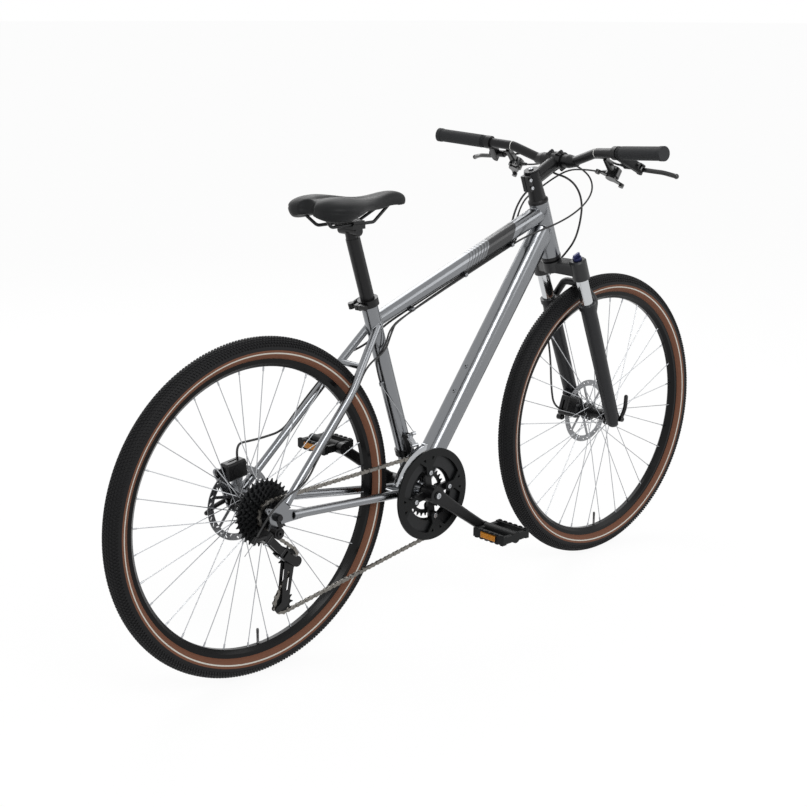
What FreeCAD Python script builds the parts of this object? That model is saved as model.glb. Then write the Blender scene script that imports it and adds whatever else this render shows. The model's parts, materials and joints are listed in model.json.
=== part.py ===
import FreeCAD, Part
import math
import os

# Hybrid bike. Millimetres, +X forward, +Y to the rider's left, +Z up.
# The origin is on the ground, halfway between the axles. The drive side is -Y.

# Wheels and layout
wheelbase = 1097.0
wheel_radius = 358.0
tyre_width = 45.0
tyre_wall = 2.6
bead_seat_radius = 311.0
bottom_bracket_drop = 55.0
chainstay_length = 454.0
seat_angle = 73.0
head_angle = 69.5
fork_rake = 37.0
crown_height = 458.0
running_gap = 0.3

# Frame tubes
seat_tube_length = 470.0
seat_tube_diameter = 36.0
seatpost_diameter = 30.9
seatpost_gap = 0.25
head_tube_length = 138.0
head_tube_diameter = 46.0
head_tube_wall = 5.8
headset_lower_stack = 12.8
headset_upper_stack = 9.2
down_tube_head_height = 57.0
down_tube_head_width = 44.0
down_tube_shell_height = 46.0
down_tube_shell_width = 54.0
down_tube_meets_head = 74.0
top_tube_head_height = 40.0
top_tube_head_width = 38.0
top_tube_seat_height = 29.0
top_tube_seat_width = 28.0
top_tube_meets_head = 111.5
top_tube_meets_seat = 417.0
tube_wall = 1.8
shell_width = 73.0
shell_diameter = 42.0
shell_bore_radius = 17.2
boss_flange_radius = 5.5
boss_bore_radius = 2.1
boss_spacing = 64.0
boss_low_distance = 239.0
boss_depth = 9.0

# Rear triangle
rear_spacing = 135.0
dropout_thickness = 6.0
chainstay_diameter = 19.0
seatstay_diameter = 17.0
stay_wall = 2.0
seatstay_top_distance = 410.0
bridge_radius = 6.5
eyelet_bore_radius = 2.5

# Fork
front_spacing = 100.0
fork_leg_spacing = 122.0
leg_offset = 22.0
stanchion_diameter = 30.0
stanchion_length = 240.0
lower_leg_diameter = 41.0
lower_leg_foot_diameter = 34.0
lower_leg_top = 335.0
fork_travel = 50.0
steerer_diameter = 28.6
crown_clamp_height = 46.0
fork_dropout_thickness = 7.5
fork_foot_relief = 16.0

# Cockpit
stem_reach = 90.0
stem_clamp_length = 42.0
spacer_length = 26.0
bar_clamp_diameter = 31.8
bar_grip_diameter = 22.2
bar_half_width = 342.0
bar_bore_radius = 8.6
grip_length = 140.0
grip_diameter = 33.0
lever_clamp_offset = 196.0
shifter_offset = 150.0

# Hubs, rotors and axles
axle_radius = 5.0
skewer_radius = 2.5
flange_radius = 22.0
flange_thickness = 3.2
spoke_hole_circle = 18.5
spoke_count = 32
spoke_crosses = 3
spoke_radius = 1.0
nipple_radius = 1.9
rotor_radius = 80.0
rotor_track = 15.0
rotor_thickness = 1.8
front_rotor_inset = 10.5
rear_rotor_inset = 15.3

# Drivetrain
chain_pitch = 12.7
roller_radius = 3.87
seat_clearance = 0.18
chain_plane = -53.8
cog_spacing = 4.34
cog_thickness = 1.8
cog_teeth = (11, 13, 15, 17, 20, 23, 26, 30, 34)
cog_in_use = 2
ring_teeth = (48, 36, 26)
ring_spacing = 8.0
ring_thickness = 2.0
pulley_teeth = 11
pulley_thickness = 2.2
pulley_drop = 102.0
pulley_ahead = 42.0
cage_length = 95.0
crank_length = 170.0
crank_angle = -36.7
spindle_radius = 8.5
crank_boss_radius = 20.0
pedal_width = 94.0
pedal_length = 84.0
pedal_thickness = 24.0
pedal_axle_radius = 6.0
guard_radius = 105.2

# Saddle
saddle_length = 270.0
saddle_width = 172.0
saddle_height = 975.0
saddle_rear = -403.0
rail_radius = 3.5
rail_spacing = 44.0

left = 1
right = -1
sides = (left, right)


def vec(x, y, z):
    return FreeCAD.Vector(x, y, z)


def turned(angle):
    """Unit vector at an angle in the XZ plane, from +X towards +Z."""
    return vec(math.cos(math.radians(angle)), 0, math.sin(math.radians(angle)))


across = vec(0, 1, 0)
rear_axle = vec(-wheelbase / 2, 0, wheel_radius)
front_axle = vec(wheelbase / 2, 0, wheel_radius)
shell_centre = vec(
    rear_axle.x + math.sqrt(chainstay_length ** 2 - bottom_bracket_drop ** 2),
    0,
    wheel_radius - bottom_bracket_drop,
)


def above_axles(x, y, height):
    """Point given by its height above the line through both axles."""
    return vec(x, y, wheel_radius + height)


seat_line = turned(180 - seat_angle)
seat_forward = turned(90 - seat_angle)
steer_line = turned(180 - head_angle)
steer_forward = turned(90 - head_angle)
steer_foot = front_axle - steer_forward * fork_rake


def on_seat(distance, forward=0.0, y=0.0):
    """Point along the seat tube's axis, measured from the bottom bracket."""
    return shell_centre + seat_line * distance + seat_forward * forward + across * y


def on_steer(distance, forward=0.0, y=0.0):
    """Point along the steering axis, measured from the axle's foot on it."""
    return steer_foot + steer_line * distance + steer_forward * forward + across * y


def rod(start, end, radius):
    return Part.makeCylinder(radius, (end - start).Length, start, end - start)


def pipe(start, end, outer, inner):
    return rod(start, end, outer).cut(rod(start, end, inner))


def cone(start, end, start_radius, end_radius):
    return Part.makeCone(start_radius, end_radius, (end - start).Length, start, end - start)


def disc(centre, radius, low, high):
    """Cylinder along Y from one distance to another, on the centre's axis."""
    base = vec(centre.x, min(low, high), centre.z)
    return Part.makeCylinder(radius, abs(high - low), base, across)


def ring(centre, outer, inner, low, high):
    return disc(centre, outer, low, high).cut(disc(centre, inner, low - 1, high + 1))


def joined(shapes):
    """Fuse of overlapping solids into one clean solid."""
    shapes = list(shapes)
    if len(shapes) == 1:
        return shapes[0]
    return shapes[0].multiFuse(shapes[1:]).removeSplitter()


def polygon(points):
    return Part.Wire(Part.makePolygon(list(points) + [points[0]]))


def slab(origin, direction, half_width, length, low, high):
    """Bar in the XZ plane with round ends, extruded along Y."""
    side = vec(-direction.z, 0, direction.x)
    far = origin + direction * length
    a = vec(origin.x, low, origin.z)
    b = vec(far.x, low, far.z)
    corners = (a + side * half_width, b + side * half_width, b - side * half_width, a - side * half_width)
    edges = [
        Part.makeLine(corners[0], corners[1]),
        Part.Arc(corners[1], b + direction * half_width, corners[2]).toShape(),
        Part.makeLine(corners[2], corners[3]),
        Part.Arc(corners[3], a - direction * half_width, corners[0]).toShape(),
    ]
    return Part.Face(Part.Wire(edges)).extrude(across * (high - low))


def tapered_slab(start, end, start_radius, end_radius, low, high):
    """Plate with two different round ends and straight tangent sides."""
    gap = end - start
    lean = math.degrees(math.acos((start_radius - end_radius) / gap.Length))
    heading = math.degrees(math.atan2(gap.z, gap.x))
    a = vec(start.x, low, start.z)
    b = vec(end.x, low, end.z)
    corners = (
        a + turned(heading + lean) * start_radius,
        b + turned(heading + lean) * end_radius,
        b + turned(heading - lean) * end_radius,
        a + turned(heading - lean) * start_radius,
    )
    edges = [
        Part.makeLine(corners[0], corners[1]),
        Part.Arc(corners[1], b + turned(heading) * end_radius, corners[2]).toShape(),
        Part.makeLine(corners[2], corners[3]),
        Part.Arc(corners[3], a - turned(heading) * start_radius, corners[0]).toShape(),
    ]
    return Part.Face(Part.Wire(edges)).extrude(across * (high - low))


def rounded_section(centre, side, up, width, height, radius):
    """Rounded rectangle of four lines and four arcs, in the plane of side and up."""
    a = width / 2 - radius
    b = height / 2 - radius
    bow = radius * math.sqrt(0.5)

    def at(u, v):
        return centre + side * u + up * v

    edges = []
    quarters = ((1, 1), (-1, 1), (-1, -1), (1, -1))
    for i, (su, sv) in enumerate(quarters):
        first = at(su * (a + radius), sv * b)
        last = at(su * a, sv * (b + radius))
        if i % 2:
            first, last = last, first
        edges.append(Part.Arc(first, at(su * (a + bow), sv * (b + bow)), last).toShape())
        nu, nv = quarters[(i + 1) % 4]
        start = at(nu * (a + radius), nv * b)
        if i % 2 == 0:
            start = at(nu * a, nv * (b + radius))
        edges.append(Part.makeLine(last, start))
    return Part.Wire(edges)


def loft(sections):
    return Part.makeLoft(sections, True, False)


def bent_path(points, radius=None):
    """Straight runs joined by tangent arcs. Without a radius each arc takes
    0.45 of its shorter run. Returns the wire, its length and the radii."""
    edges = []
    radii = []
    start = points[0]
    for before, corner, after in zip(points, points[1:], points[2:]):
        into = (corner - before).normalize()
        out = (after - corner).normalize()
        half_turn = into.getAngle(out) / 2
        reach = 0.45 * min((corner - before).Length, (after - corner).Length)
        if radius is not None:
            reach = radius * math.tan(half_turn)
        bend = reach / math.tan(half_turn)
        first = corner - into * reach
        last = corner + out * reach
        inward = (out - into).normalize()
        middle = corner + inward * (bend / math.cos(half_turn) - bend)
        edges.append(Part.makeLine(start, first))
        edges.append(Part.Arc(first, middle, last).toShape())
        radii.append(bend)
        start = last
    edges.append(Part.makeLine(start, points[-1]))
    wire = Part.Wire(edges)
    return wire, wire.Length, radii


def bent_rod(points, thickness_radius, radius=None):
    wire, length, radii = bent_path(points, radius)
    profile = Part.Wire(Part.makeCircle(thickness_radius, points[0], points[1] - points[0]))
    return wire.makePipeShell([profile], True, False)


def cord(name, points, thickness_radius):
    """Cable or hose, with its length, its radii and its volume printed."""
    wire, length, radii = bent_path(points)
    profile = Part.Wire(Part.makeCircle(thickness_radius, points[0], points[1] - points[0]))
    solid = wire.makePipeShell([profile], True, False)
    share = solid.Volume / (math.pi * thickness_radius ** 2 * length)
    print(name, "length", round(length), "least radius", round(min(radii), 1))
    print(name, "volume share", round(share, 4))
    return solid


def turned_box(corner, x_way, y_way, z_way, sizes):
    """Box from a corner, with its three edges along the given ways."""
    length, width, height = sizes
    far = corner + x_way * length
    face = Part.Face(polygon([corner, far, far + y_way * width, corner + y_way * width]))
    return face.extrude(z_way * height)


def revolved(centre, profile_edges):
    """Full turn about the Y axis through the centre. The profile holds edges
    in the plane of (radius, y), with radius laid along +Z."""
    face = Part.Face(Part.Wire(profile_edges))
    face.translate(vec(centre.x, 0, centre.z))
    return face.revolve(centre, across, 360)


def profile_point(radius, y):
    return vec(0, y, radius)


def line_profile(pairs):
    """Closed profile of straight lines through (radius, y) pairs."""
    points = [profile_point(r, y) for r, y in pairs]
    return Part.Wire(Part.makePolygon(points + [points[0]])).Edges


def moved(shape, position, heading=0.0):
    """Copy turned by heading in the XZ plane, then set at a position."""
    copy = shape.copy()
    copy.Placement = FreeCAD.Placement(position, FreeCAD.Rotation(vec(0, -1, 0), heading))
    return copy


def pitch_radius(teeth):
    return chain_pitch / (2 * math.sin(math.pi / teeth))


def export(node, solids):
    """Write one node, with every solid kept separate."""
    flat = []
    for shape in solids:
        flat.extend(shape.Solids)
    for solid in flat:
        if not solid.isValid() or solid.Volume <= 0:
            print("BAD SOLID in", node)
    os.makedirs("parts", exist_ok=True)
    shape = flat[0] if len(flat) == 1 else Part.makeCompound(flat)
    shape.exportStep("parts/" + node + ".step")


# Main frame

head_bottom = crown_height + headset_lower_stack
head_top = head_bottom + head_tube_length
down_tube_end = on_steer(head_bottom + down_tube_meets_head)
top_tube_start = on_seat(top_tube_meets_seat)
top_tube_end = on_steer(head_bottom + top_tube_meets_head)
section_round = 0.4


class Tube:
    """Straight tube with a rounded section that changes along its length."""

    def __init__(self, start, end, start_size, end_size):
        self.start = start
        self.length = (end - start).Length
        self.axis = (end - start).normalize()
        self.up = self.axis.cross(across)
        self.sizes = (start_size, end_size)

    def size(self, distance):
        share = distance / self.length
        return [a + (b - a) * share for a, b in zip(*self.sizes)]

    def point(self, distance, up=0.0, y=0.0):
        """Point beside the axis, with up counted from the axis."""
        return self.start + self.axis * distance + self.up * up + across * y

    def below(self, distance, gap, y):
        """Point under the tube, a gap away from its lower face."""
        return self.point(distance, -self.size(distance)[1] / 2 - gap, y)

    def body(self, inset, end_short):
        """Loft of the tube, smaller all round by an inset."""
        sections = []
        for distance in (0, self.length - end_short):
            width, height = [s - 2 * inset for s in self.size(distance)]
            corner = section_round * min(width, height)
            sections.append(
                rounded_section(self.point(distance), across, self.up, width, height, corner)
            )
        return loft(sections)

    def hollow(self, end_short):
        return self.body(0, end_short).cut(self.body(tube_wall, end_short))


down_tube_form = Tube(
    shell_centre,
    down_tube_end,
    (down_tube_shell_width, down_tube_shell_height),
    (down_tube_head_width, down_tube_head_height),
)
top_tube_form = Tube(
    top_tube_start,
    top_tube_end,
    (top_tube_seat_width, top_tube_seat_height),
    (top_tube_head_width, top_tube_head_height),
)
tube_end_short = 12.0


def head_tube_round(inset=0.0):
    return rod(on_steer(head_bottom), on_steer(head_top), head_tube_diameter / 2 - inset)


def seat_tube_round(inset=0.0):
    return rod(on_seat(0), on_seat(seat_tube_length), seat_tube_diameter / 2 - inset)


def shell_round():
    return disc(shell_centre, shell_diameter / 2, -shell_width / 2, shell_width / 2)


boss_sleeve_radius = 4.0
boss_rim = 1.2


def bottle_bosses():
    """Threaded inserts for a bottle cage, set in the down tube's upper face."""
    bosses = []
    for distance in (boss_low_distance, boss_low_distance + boss_spacing):
        top = down_tube_form.size(distance)[1] / 2
        seat = down_tube_form.point(distance, top)
        foot = down_tube_form.point(distance, top - boss_depth)
        rim = down_tube_form.point(distance, top + boss_rim)
        sleeve = joined([rod(foot, rim, boss_sleeve_radius), rod(seat, rim, boss_flange_radius)])
        bore = rod(foot - down_tube_form.up, rim + down_tube_form.up, boss_bore_radius)
        bosses.append(sleeve.cut(bore))
    return bosses


def boss_holes():
    holes = []
    for distance in (boss_low_distance, boss_low_distance + boss_spacing):
        foot = down_tube_form.point(distance)
        holes.append(rod(foot, foot + down_tube_form.up * down_tube_head_height, boss_sleeve_radius))
    return holes


clip_distances = (97.0, 270.0, 430.0)
cable_rows = {"front shift": -14.5, "rear shift": -8.0, "rear brake": -1.0}
housing_radius = 2.1
hose_radius = 2.5
cable_gap = 3.6
clip_length = 8.0
clip_height = 7.0


def top_tube_clips():
    """Guides under the top tube, bored for the two housings and the hose."""
    clips = []
    rows = sorted(cable_rows.values())
    for distance in clip_distances:
        corner = top_tube_form.below(distance, clip_height, rows[0] - 4.5)
        width = rows[-1] - rows[0] + 9.0
        sizes = (clip_length, width, clip_height + 1.0)
        block = turned_box(corner, top_tube_form.axis, across, top_tube_form.up, sizes)
        block = block.cut(top_tube_form.body(0, tube_end_short))
        for y in rows:
            start = top_tube_form.below(distance - clip_length, cable_gap, y)
            end = top_tube_form.below(distance + 2 * clip_length, cable_gap, y)
            block = block.cut(rod(start, end, hose_radius + 0.2))
        clips.append(block)
    return clips


def main_frame():
    """Mitred tubes, each a solid that meets the next along its weld line."""
    shell_hole = disc(shell_centre, shell_bore_radius, -shell_width, shell_width)
    head_tube = head_tube_round().cut(head_tube_round(head_tube_wall))
    seat_bore = seatpost_diameter / 2 + seatpost_gap
    seat_tube = seat_tube_round().cut(rod(on_seat(-1), on_seat(seat_tube_length + 1), seat_bore))
    seat_tube = seat_tube.cut(shell_round())
    down_tube = down_tube_form.hollow(tube_end_short).cut(shell_round()).cut(seat_tube_round())
    down_tube = down_tube.cut(head_tube_round())
    for hole in boss_holes():
        down_tube = down_tube.cut(hole)
    top_tube = top_tube_form.hollow(tube_end_short).cut(seat_tube_round()).cut(head_tube_round())
    top_tube = top_tube.cut(down_tube_form.body(0, tube_end_short))
    tubes = [head_tube, seat_tube, largest(down_tube), largest(top_tube), shell_round().cut(shell_hole)]
    return tubes + bottle_bosses() + top_tube_clips()


def largest(shape):
    return max(shape.Solids, key=lambda solid: solid.Volume)


# Rear triangle

dropout_inner = rear_spacing / 2
dropout_outer = dropout_inner + dropout_thickness
dropout_middle = dropout_inner + dropout_thickness / 2
stay_end = 42.0
chainstay_line = (shell_centre - rear_axle).normalize()


def chainstay_points(side):
    """Axis of one chainstay, kept between the tyre and the small chainring."""
    start_y = 18.0
    waist_y = 26.5
    places = (
        (chainstay_length - 4, start_y),
        (395.0, waist_y),
        (86.0, 64.0),
        (stay_end, dropout_middle),
    )
    return [rear_axle + chainstay_line * along + across * (side * y) for along, y in places]


seatstay_top = on_seat(seatstay_top_distance)
seatstay_bend = above_axles(-324, 48, 215)
seatstay_foot = rear_axle + vec(26.0, 0, 22.0)


def seatstay_points(side):
    return [
        seatstay_top + across * (side * 12.0),
        vec(seatstay_bend.x, side * seatstay_bend.y, seatstay_bend.z),
        vec(seatstay_foot.x, side * dropout_middle, seatstay_foot.z),
    ]


def stay(points, radius, bend_radius):
    return bent_rod(points, radius, bend_radius).cut(bent_rod(points, radius - stay_wall, bend_radius))


hanger_bolt = rear_axle + vec(-9.0, 0, -28.0)
hanger_bore_radius = 5.2
caliper_angle = 98.0
caliper_foot_spread = 31.0
caliper_foot_radius = 7.5
caliper_bolt_radius = 3.0


def caliper_feet(rotor_centre, angle):
    """The two bolt places of a caliper, either side of its middle."""
    middle = rotor_centre + turned(angle) * (rotor_radius - 3)
    return [middle + turned(angle + 90) * way * caliper_foot_spread for way in sides]


def dropout(side):
    """Plate that holds the axle in a slot. The right one carries the hanger,
    the left one the brake's mount."""
    low = side * dropout_inner
    high = side * dropout_outer
    eyelet = rear_axle + vec(-20.0, 0, 17.0)
    solids = [disc(rear_axle, 19.0, low, high)]
    solids.append(tapered_slab(rear_axle, rear_axle + chainstay_line * 66, 17.0, 8.0, *sorted((low, high))))
    stay_way = (seatstay_points(left)[1] - seatstay_points(left)[2])
    stay_way.y = 0
    tip = seatstay_foot + stay_way.normalize() * 26
    solids.append(tapered_slab(rear_axle, tip, 17.0, 7.0, *sorted((low, high))))
    solids.append(tapered_slab(rear_axle, eyelet, 15.0, 6.0, *sorted((low, high))))
    if side == right:
        solids.append(tapered_slab(rear_axle, hanger_bolt, 16.0, 9.5, *sorted((low, high))))
    else:
        for foot in caliper_feet(rear_axle, caliper_angle):
            solids.append(tapered_slab(rear_axle, foot, 16.0, caliper_foot_radius, *sorted((low, high))))
    body = joined(solids)
    body = body.cut(disc(rear_axle, axle_radius + 0.1, low - 10, high + 10))
    body = body.cut(slab(rear_axle, turned(-70), axle_radius + 0.1, 40, *sorted((low - side, high + side))))
    body = body.cut(disc(eyelet, eyelet_bore_radius, low - 10, high + 10))
    if side == right:
        body = body.cut(disc(hanger_bolt, hanger_bore_radius, low - 10, high + 10))
    else:
        for foot in caliper_feet(rear_axle, caliper_angle):
            body = body.cut(disc(foot, caliper_bolt_radius + 0.1, low - 10, high + 10))
    return largest(body)


def stay_bridge():
    """Cross tube between the seatstays, with an upright mudguard hole."""
    share = 0.62
    ends = []
    for side in sides:
        top, bend, _ = seatstay_points(side)
        ends.append(top + (bend - top) * share)
    tube = rod(ends[0], ends[1], bridge_radius)
    middle = (ends[0] + ends[1]) * 0.5
    tube = tube.cut(rod(middle - vec(0, 0, 20), middle + vec(0, 0, 20), eyelet_bore_radius))
    return tube


def rear_triangle():
    dropouts = [dropout(side) for side in sides]
    bridge = stay_bridge()
    low_bridge_at = rear_axle + chainstay_line * 372
    low_bridge = rod(low_bridge_at + across * 30, low_bridge_at - across * 30, bridge_radius)
    solids = list(dropouts)
    for side, end in zip(sides, dropouts):
        chainstay = stay(chainstay_points(side), chainstay_diameter / 2, 120.0)
        seatstay = stay(seatstay_points(side), seatstay_diameter / 2, 260.0)
        full_chainstay = bent_rod(chainstay_points(side), chainstay_diameter / 2, 120.0)
        full_seatstay = bent_rod(seatstay_points(side), seatstay_diameter / 2, 260.0)
        chainstay = chainstay.cut(shell_round()).cut(end).cut(seat_tube_round())
        seatstay = seatstay.cut(seat_tube_round()).cut(end).cut(full_chainstay)
        bridge = bridge.cut(full_seatstay)
        low_bridge = low_bridge.cut(full_chainstay)
        solids.append(largest(chainstay))
        solids.append(largest(seatstay))
    solids.append(largest(bridge))
    solids.append(largest(low_bridge))
    return solids


# Frame fittings

collar_height = 16.0
collar_radius = seat_tube_diameter / 2 + 4.5
collar_top = seat_tube_length + 3.0
collar_bolt_end = 18.0


def seat_clamp():
    """Split collar round the seat tube's top, with ears for its cross bolt."""
    low = on_seat(collar_top - collar_height)
    high = on_seat(collar_top)
    lip_low = on_seat(seat_tube_length)
    body = rod(low, high, collar_radius)
    back = seat_forward * -1
    corner = on_seat(collar_top - collar_height + 2, -collar_radius + 3, -9.0)
    ears = turned_box(corner, back, across, seat_line, (13.0, 18.0, collar_height - 4))
    body = joined([body, ears])
    body = body.cut(rod(low - seat_line, lip_low, seat_tube_diameter / 2))
    body = body.cut(rod(low, high + seat_line, seatpost_diameter / 2 + seatpost_gap))
    corner = on_seat(collar_top - collar_height - 2, 0, -1.2)
    body = body.cut(turned_box(corner, back, across, seat_line, (40.0, 2.4, collar_height + 4)))
    bolt_at = on_seat(collar_top - collar_height / 2, -collar_radius - 5)
    bolt = rod(bolt_at - across * 17, bolt_at + across * collar_bolt_end, 2.6)
    nut = rod(bolt_at - across * 21, bolt_at - across * 9.2, 6.0)
    body = body.cut(rod(bolt_at - across * 30, bolt_at + across * 30, 2.8))
    return [body, joined([bolt, nut])]


def bearing_cups():
    """Headset cups at both ends of the head tube, and the bottom bracket's cups."""
    outer = head_tube_diameter / 2
    bore = steerer_diameter / 2 + running_gap
    press = outer - head_tube_wall
    cups = []
    for face, way, stack in ((head_bottom, -1, headset_lower_stack), (head_top, 1, headset_upper_stack)):
        skirt = rod(on_steer(face), on_steer(face - way * 12), press)
        flange = rod(on_steer(face), on_steer(face + way * stack * 0.55), outer + 0.8)
        taper_start = on_steer(face + way * stack * 0.55)
        taper = cone(taper_start, on_steer(face + way * stack), outer + 0.8, outer - 3)
        hole = rod(on_steer(face - way * 20), on_steer(face + way * 30), bore)
        cups.append(joined([skirt, flange, taper]).cut(hole))
    for side in sides:
        face = side * shell_width / 2
        flange = disc(shell_centre, shell_diameter / 2 - 0.5, face, face + side * 1.8)
        sleeve = disc(shell_centre, shell_bore_radius, face, face - side * 18)
        hole = disc(shell_centre, spindle_radius + running_gap, face - side * 30, face + side * 30)
        cups.append(joined([flange, sleeve]).cut(hole))
    return cups


def caliper(rotor_centre, angle, plane, mount_face):
    """Disc brake caliper over the rotor's edge, with its two pads. Its feet
    reach sideways to the mount's face, and its bolts go on through the mount."""
    middle = rotor_centre + turned(angle) * (rotor_radius - 7)
    along = turned(angle + 90)
    out = turned(angle)

    def block(length, width, height, offset_y, offset_out):
        corner = middle - along * (length / 2) + out * offset_out
        corner.y = plane + offset_y - width / 2
        return turned_box(corner, along, across, out, (length, width, height))

    body = block(50, 28, 38, 0, -16)
    body = body.makeFillet(5.0, body.Edges)
    caps = []
    for way in sides:
        cap = middle + out * 2
        cap.y = plane + way * 12
        reach = 5.0 if way == left else 2.6
        caps.append(rod(cap, cap + across * (way * reach), 12.5))
    feet = caliper_feet(rotor_centre, angle)
    near = plane + 7.5
    for foot in feet:
        inward = (middle - foot).normalize()
        caps.append(disc(foot, caliper_foot_radius, near, mount_face))
        caps.append(slab(foot, inward, caliper_foot_radius - 1, 16, near, near + 6))
    body = joined([body] + caps)
    body = body.cut(block(60, 5.6, 40, 0, -24)).cut(block(24, 5.6, 40, 0, 0))
    bolts = []
    for foot in feet:
        body = body.cut(disc(foot, caliper_bolt_radius + 0.1, plane - 40, plane + 40))
        shank = disc(foot, caliper_bolt_radius, near - 2, mount_face + dropout_thickness)
        head = disc(foot, caliper_bolt_radius + 2.2, near - 4, near)
        bolts.append(joined([shank, head]))
    pads = [block(24, 1.4, 18, way * 2.0, -10) for way in sides]
    return [body] + bolts + pads


front_rotor_plane = front_spacing / 2 - front_rotor_inset
rear_rotor_plane = rear_spacing / 2 - rear_rotor_inset


def rear_caliper():
    """Rear caliper behind the left seatstay, bolted through to the dropout."""
    return caliper(rear_axle, caliper_angle, rear_rotor_plane, dropout_inner)


# Wheels

rim_half_width = 12.0
rim_inner_radius = 297.0
rim_wall = 2.0
rim_hook_radius = 316.5
tyre_half = tyre_width / 2
valve_radius = 3.0
valve_length = 34.0


def arc_edge(first, middle, last):
    return Part.Arc(profile_point(*first), profile_point(*middle), profile_point(*last)).toShape()


def line_edge(first, last):
    return Part.makeLine(profile_point(*first), profile_point(*last))


def tyre_profile(inset):
    """Bead, bulging wall, crown, wall, bead, and the bead line that closes it."""
    bead = rim_half_width - rim_wall - 0.4 - inset
    foot = bead_seat_radius + 1.5 + inset * 0.4
    waist_radius = wheel_radius - tyre_half
    shoulder = wheel_radius - 7.0 - inset
    half = tyre_half - inset
    crown = wheel_radius - inset
    shoulder_y = half * 0.72
    return [
        arc_edge((foot, -bead), (waist_radius, -half), (shoulder, -shoulder_y)),
        arc_edge((shoulder, -shoulder_y), (crown, 0), (shoulder, shoulder_y)),
        arc_edge((shoulder, shoulder_y), (waist_radius, half), (foot, bead)),
        line_edge((foot, bead), (foot, -bead)),
    ]


def tyre(axle):
    """Tyre with its inner tube and valve. The tube lies just inside the casing."""
    casing = revolved(axle, tyre_profile(0)).cut(revolved(axle, tyre_profile(tyre_wall)))
    mouth = rim_half_width - rim_wall - 0.4 - tyre_wall
    casing = casing.cut(ring(axle, wheel_radius - tyre_half, 300, -mouth, mouth))
    tube = revolved(axle, tyre_profile(tyre_wall + running_gap))
    valve_root = axle - vec(0, 0, bead_seat_radius + 4)
    valve_tip = axle - vec(0, 0, bead_seat_radius - valve_length)
    cap = valve_tip - vec(0, 0, 11)
    valve = joined([rod(valve_root, valve_tip, valve_radius - 0.4), rod(cap, valve_tip, valve_radius)])
    channel = rim_round(axle)
    valve_hole = rod(valve_root, cap, valve_radius + 0.1)
    return [largest(casing.cut(channel)), joined([tube, valve]).cut(channel.cut(valve_hole))]


def rim_round(axle):
    """The rim's closed outer section, without its chamber and holes."""
    w = rim_half_width
    t = rim_wall
    bed = bead_seat_radius
    outer = line_profile([
        (rim_hook_radius, -w), (bed - 6, -w), (rim_inner_radius, -5), (rim_inner_radius, 5),
        (bed - 6, w), (rim_hook_radius, w), (rim_hook_radius, w - t), (bed, w - t),
        (bed - 3, 0), (bed, -w + t), (rim_hook_radius, -w + t),
    ])
    return revolved(axle, outer)


def rim(axle, lines):
    """Hooked double-wall rim, pierced for the valve and the spoke nipples."""
    w = rim_half_width
    t = rim_wall
    bed = bead_seat_radius
    chamber = line_profile([
        (bed - 2 * t, -w + t), (rim_inner_radius + t, -4), (rim_inner_radius + t, 4),
        (bed - 2 * t, w - t), (bed - 3 - t, 0),
    ])
    body = rim_round(axle).cut(revolved(axle, chamber))
    valve_hole = rod(axle - vec(0, 0, 280), axle - vec(0, 0, 330), valve_radius + 0.1)
    holes = [valve_hole]
    for hub_end, rim_end in lines:
        way = (rim_end - hub_end).normalize()
        holes.append(rod(rim_end - way * 12, rim_end + way * 4, nipple_radius + 0.3))
    return [body.cut(holes)]


def lacing(axle, left_flange, right_flange):
    """Spoke lines of a three-cross wheel: pairs of hub and rim points."""
    per_side = spoke_count // 2
    lines = []
    for side, flange in ((left, left_flange), (right, right_flange)):
        for k in range(per_side):
            twist = 1 if k % 2 else -1
            rim_slot = 2 * k + (0 if side == left else 1)
            rim_angle = 360.0 * (rim_slot + 0.5) / spoke_count - 90
            lead = twist * (spoke_crosses - 0.5) * 360.0 / per_side
            lean = twist * (flange_thickness / 2 + spoke_radius + 0.15)
            hub_point = axle + turned(rim_angle + lead) * spoke_hole_circle + across * (flange + lean)
            rim_point = axle + turned(rim_angle) * (rim_inner_radius + rim_wall) + across * (side * 2.5)
            lines.append((hub_point, rim_point))
    return lines


def spokes(axle, lines, flanges):
    """Straight spokes with an elbow through the flange and a nipple in the rim."""
    result = []
    for hub_point, rim_point in lines:
        way = (rim_point - hub_point).normalize()
        flange = min(flanges, key=lambda y: abs(y - hub_point.y))
        far_face = 2 * flange - hub_point.y
        elbow = vec(hub_point.x, far_face, hub_point.z)
        head = vec(hub_point.x, far_face + (far_face - flange) * 0.4, hub_point.z)
        nipple_start = rim_point - way * 12
        nipple_end = rim_point + way * 1.0
        pieces = [
            rod(hub_point, nipple_start, spoke_radius),
            rod(hub_point, head, spoke_radius),
            rod(elbow, head, spoke_radius * 1.8),
            Part.makeSphere(spoke_radius, hub_point),
            rod(nipple_start, nipple_end, nipple_radius),
            rod(rim_point + way * 0.6, nipple_end + way * 1.2, nipple_radius + 0.7),
        ]
        result.append(joined(pieces))
    return result


def spoke_holes(lines, flanges):
    holes = []
    for hub_point, _ in lines:
        flange = min(flanges, key=lambda y: abs(y - hub_point.y))
        start = vec(hub_point.x, flange - flange_thickness, hub_point.z)
        holes.append(rod(start, start + across * (2 * flange_thickness), spoke_radius + 0.2))
    return holes


front_flanges = (24.0, -32.0)
rear_flanges = (34.0, -19.5)
hub_core_radius = 14.0
axle_bore = axle_radius + running_gap


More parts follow.
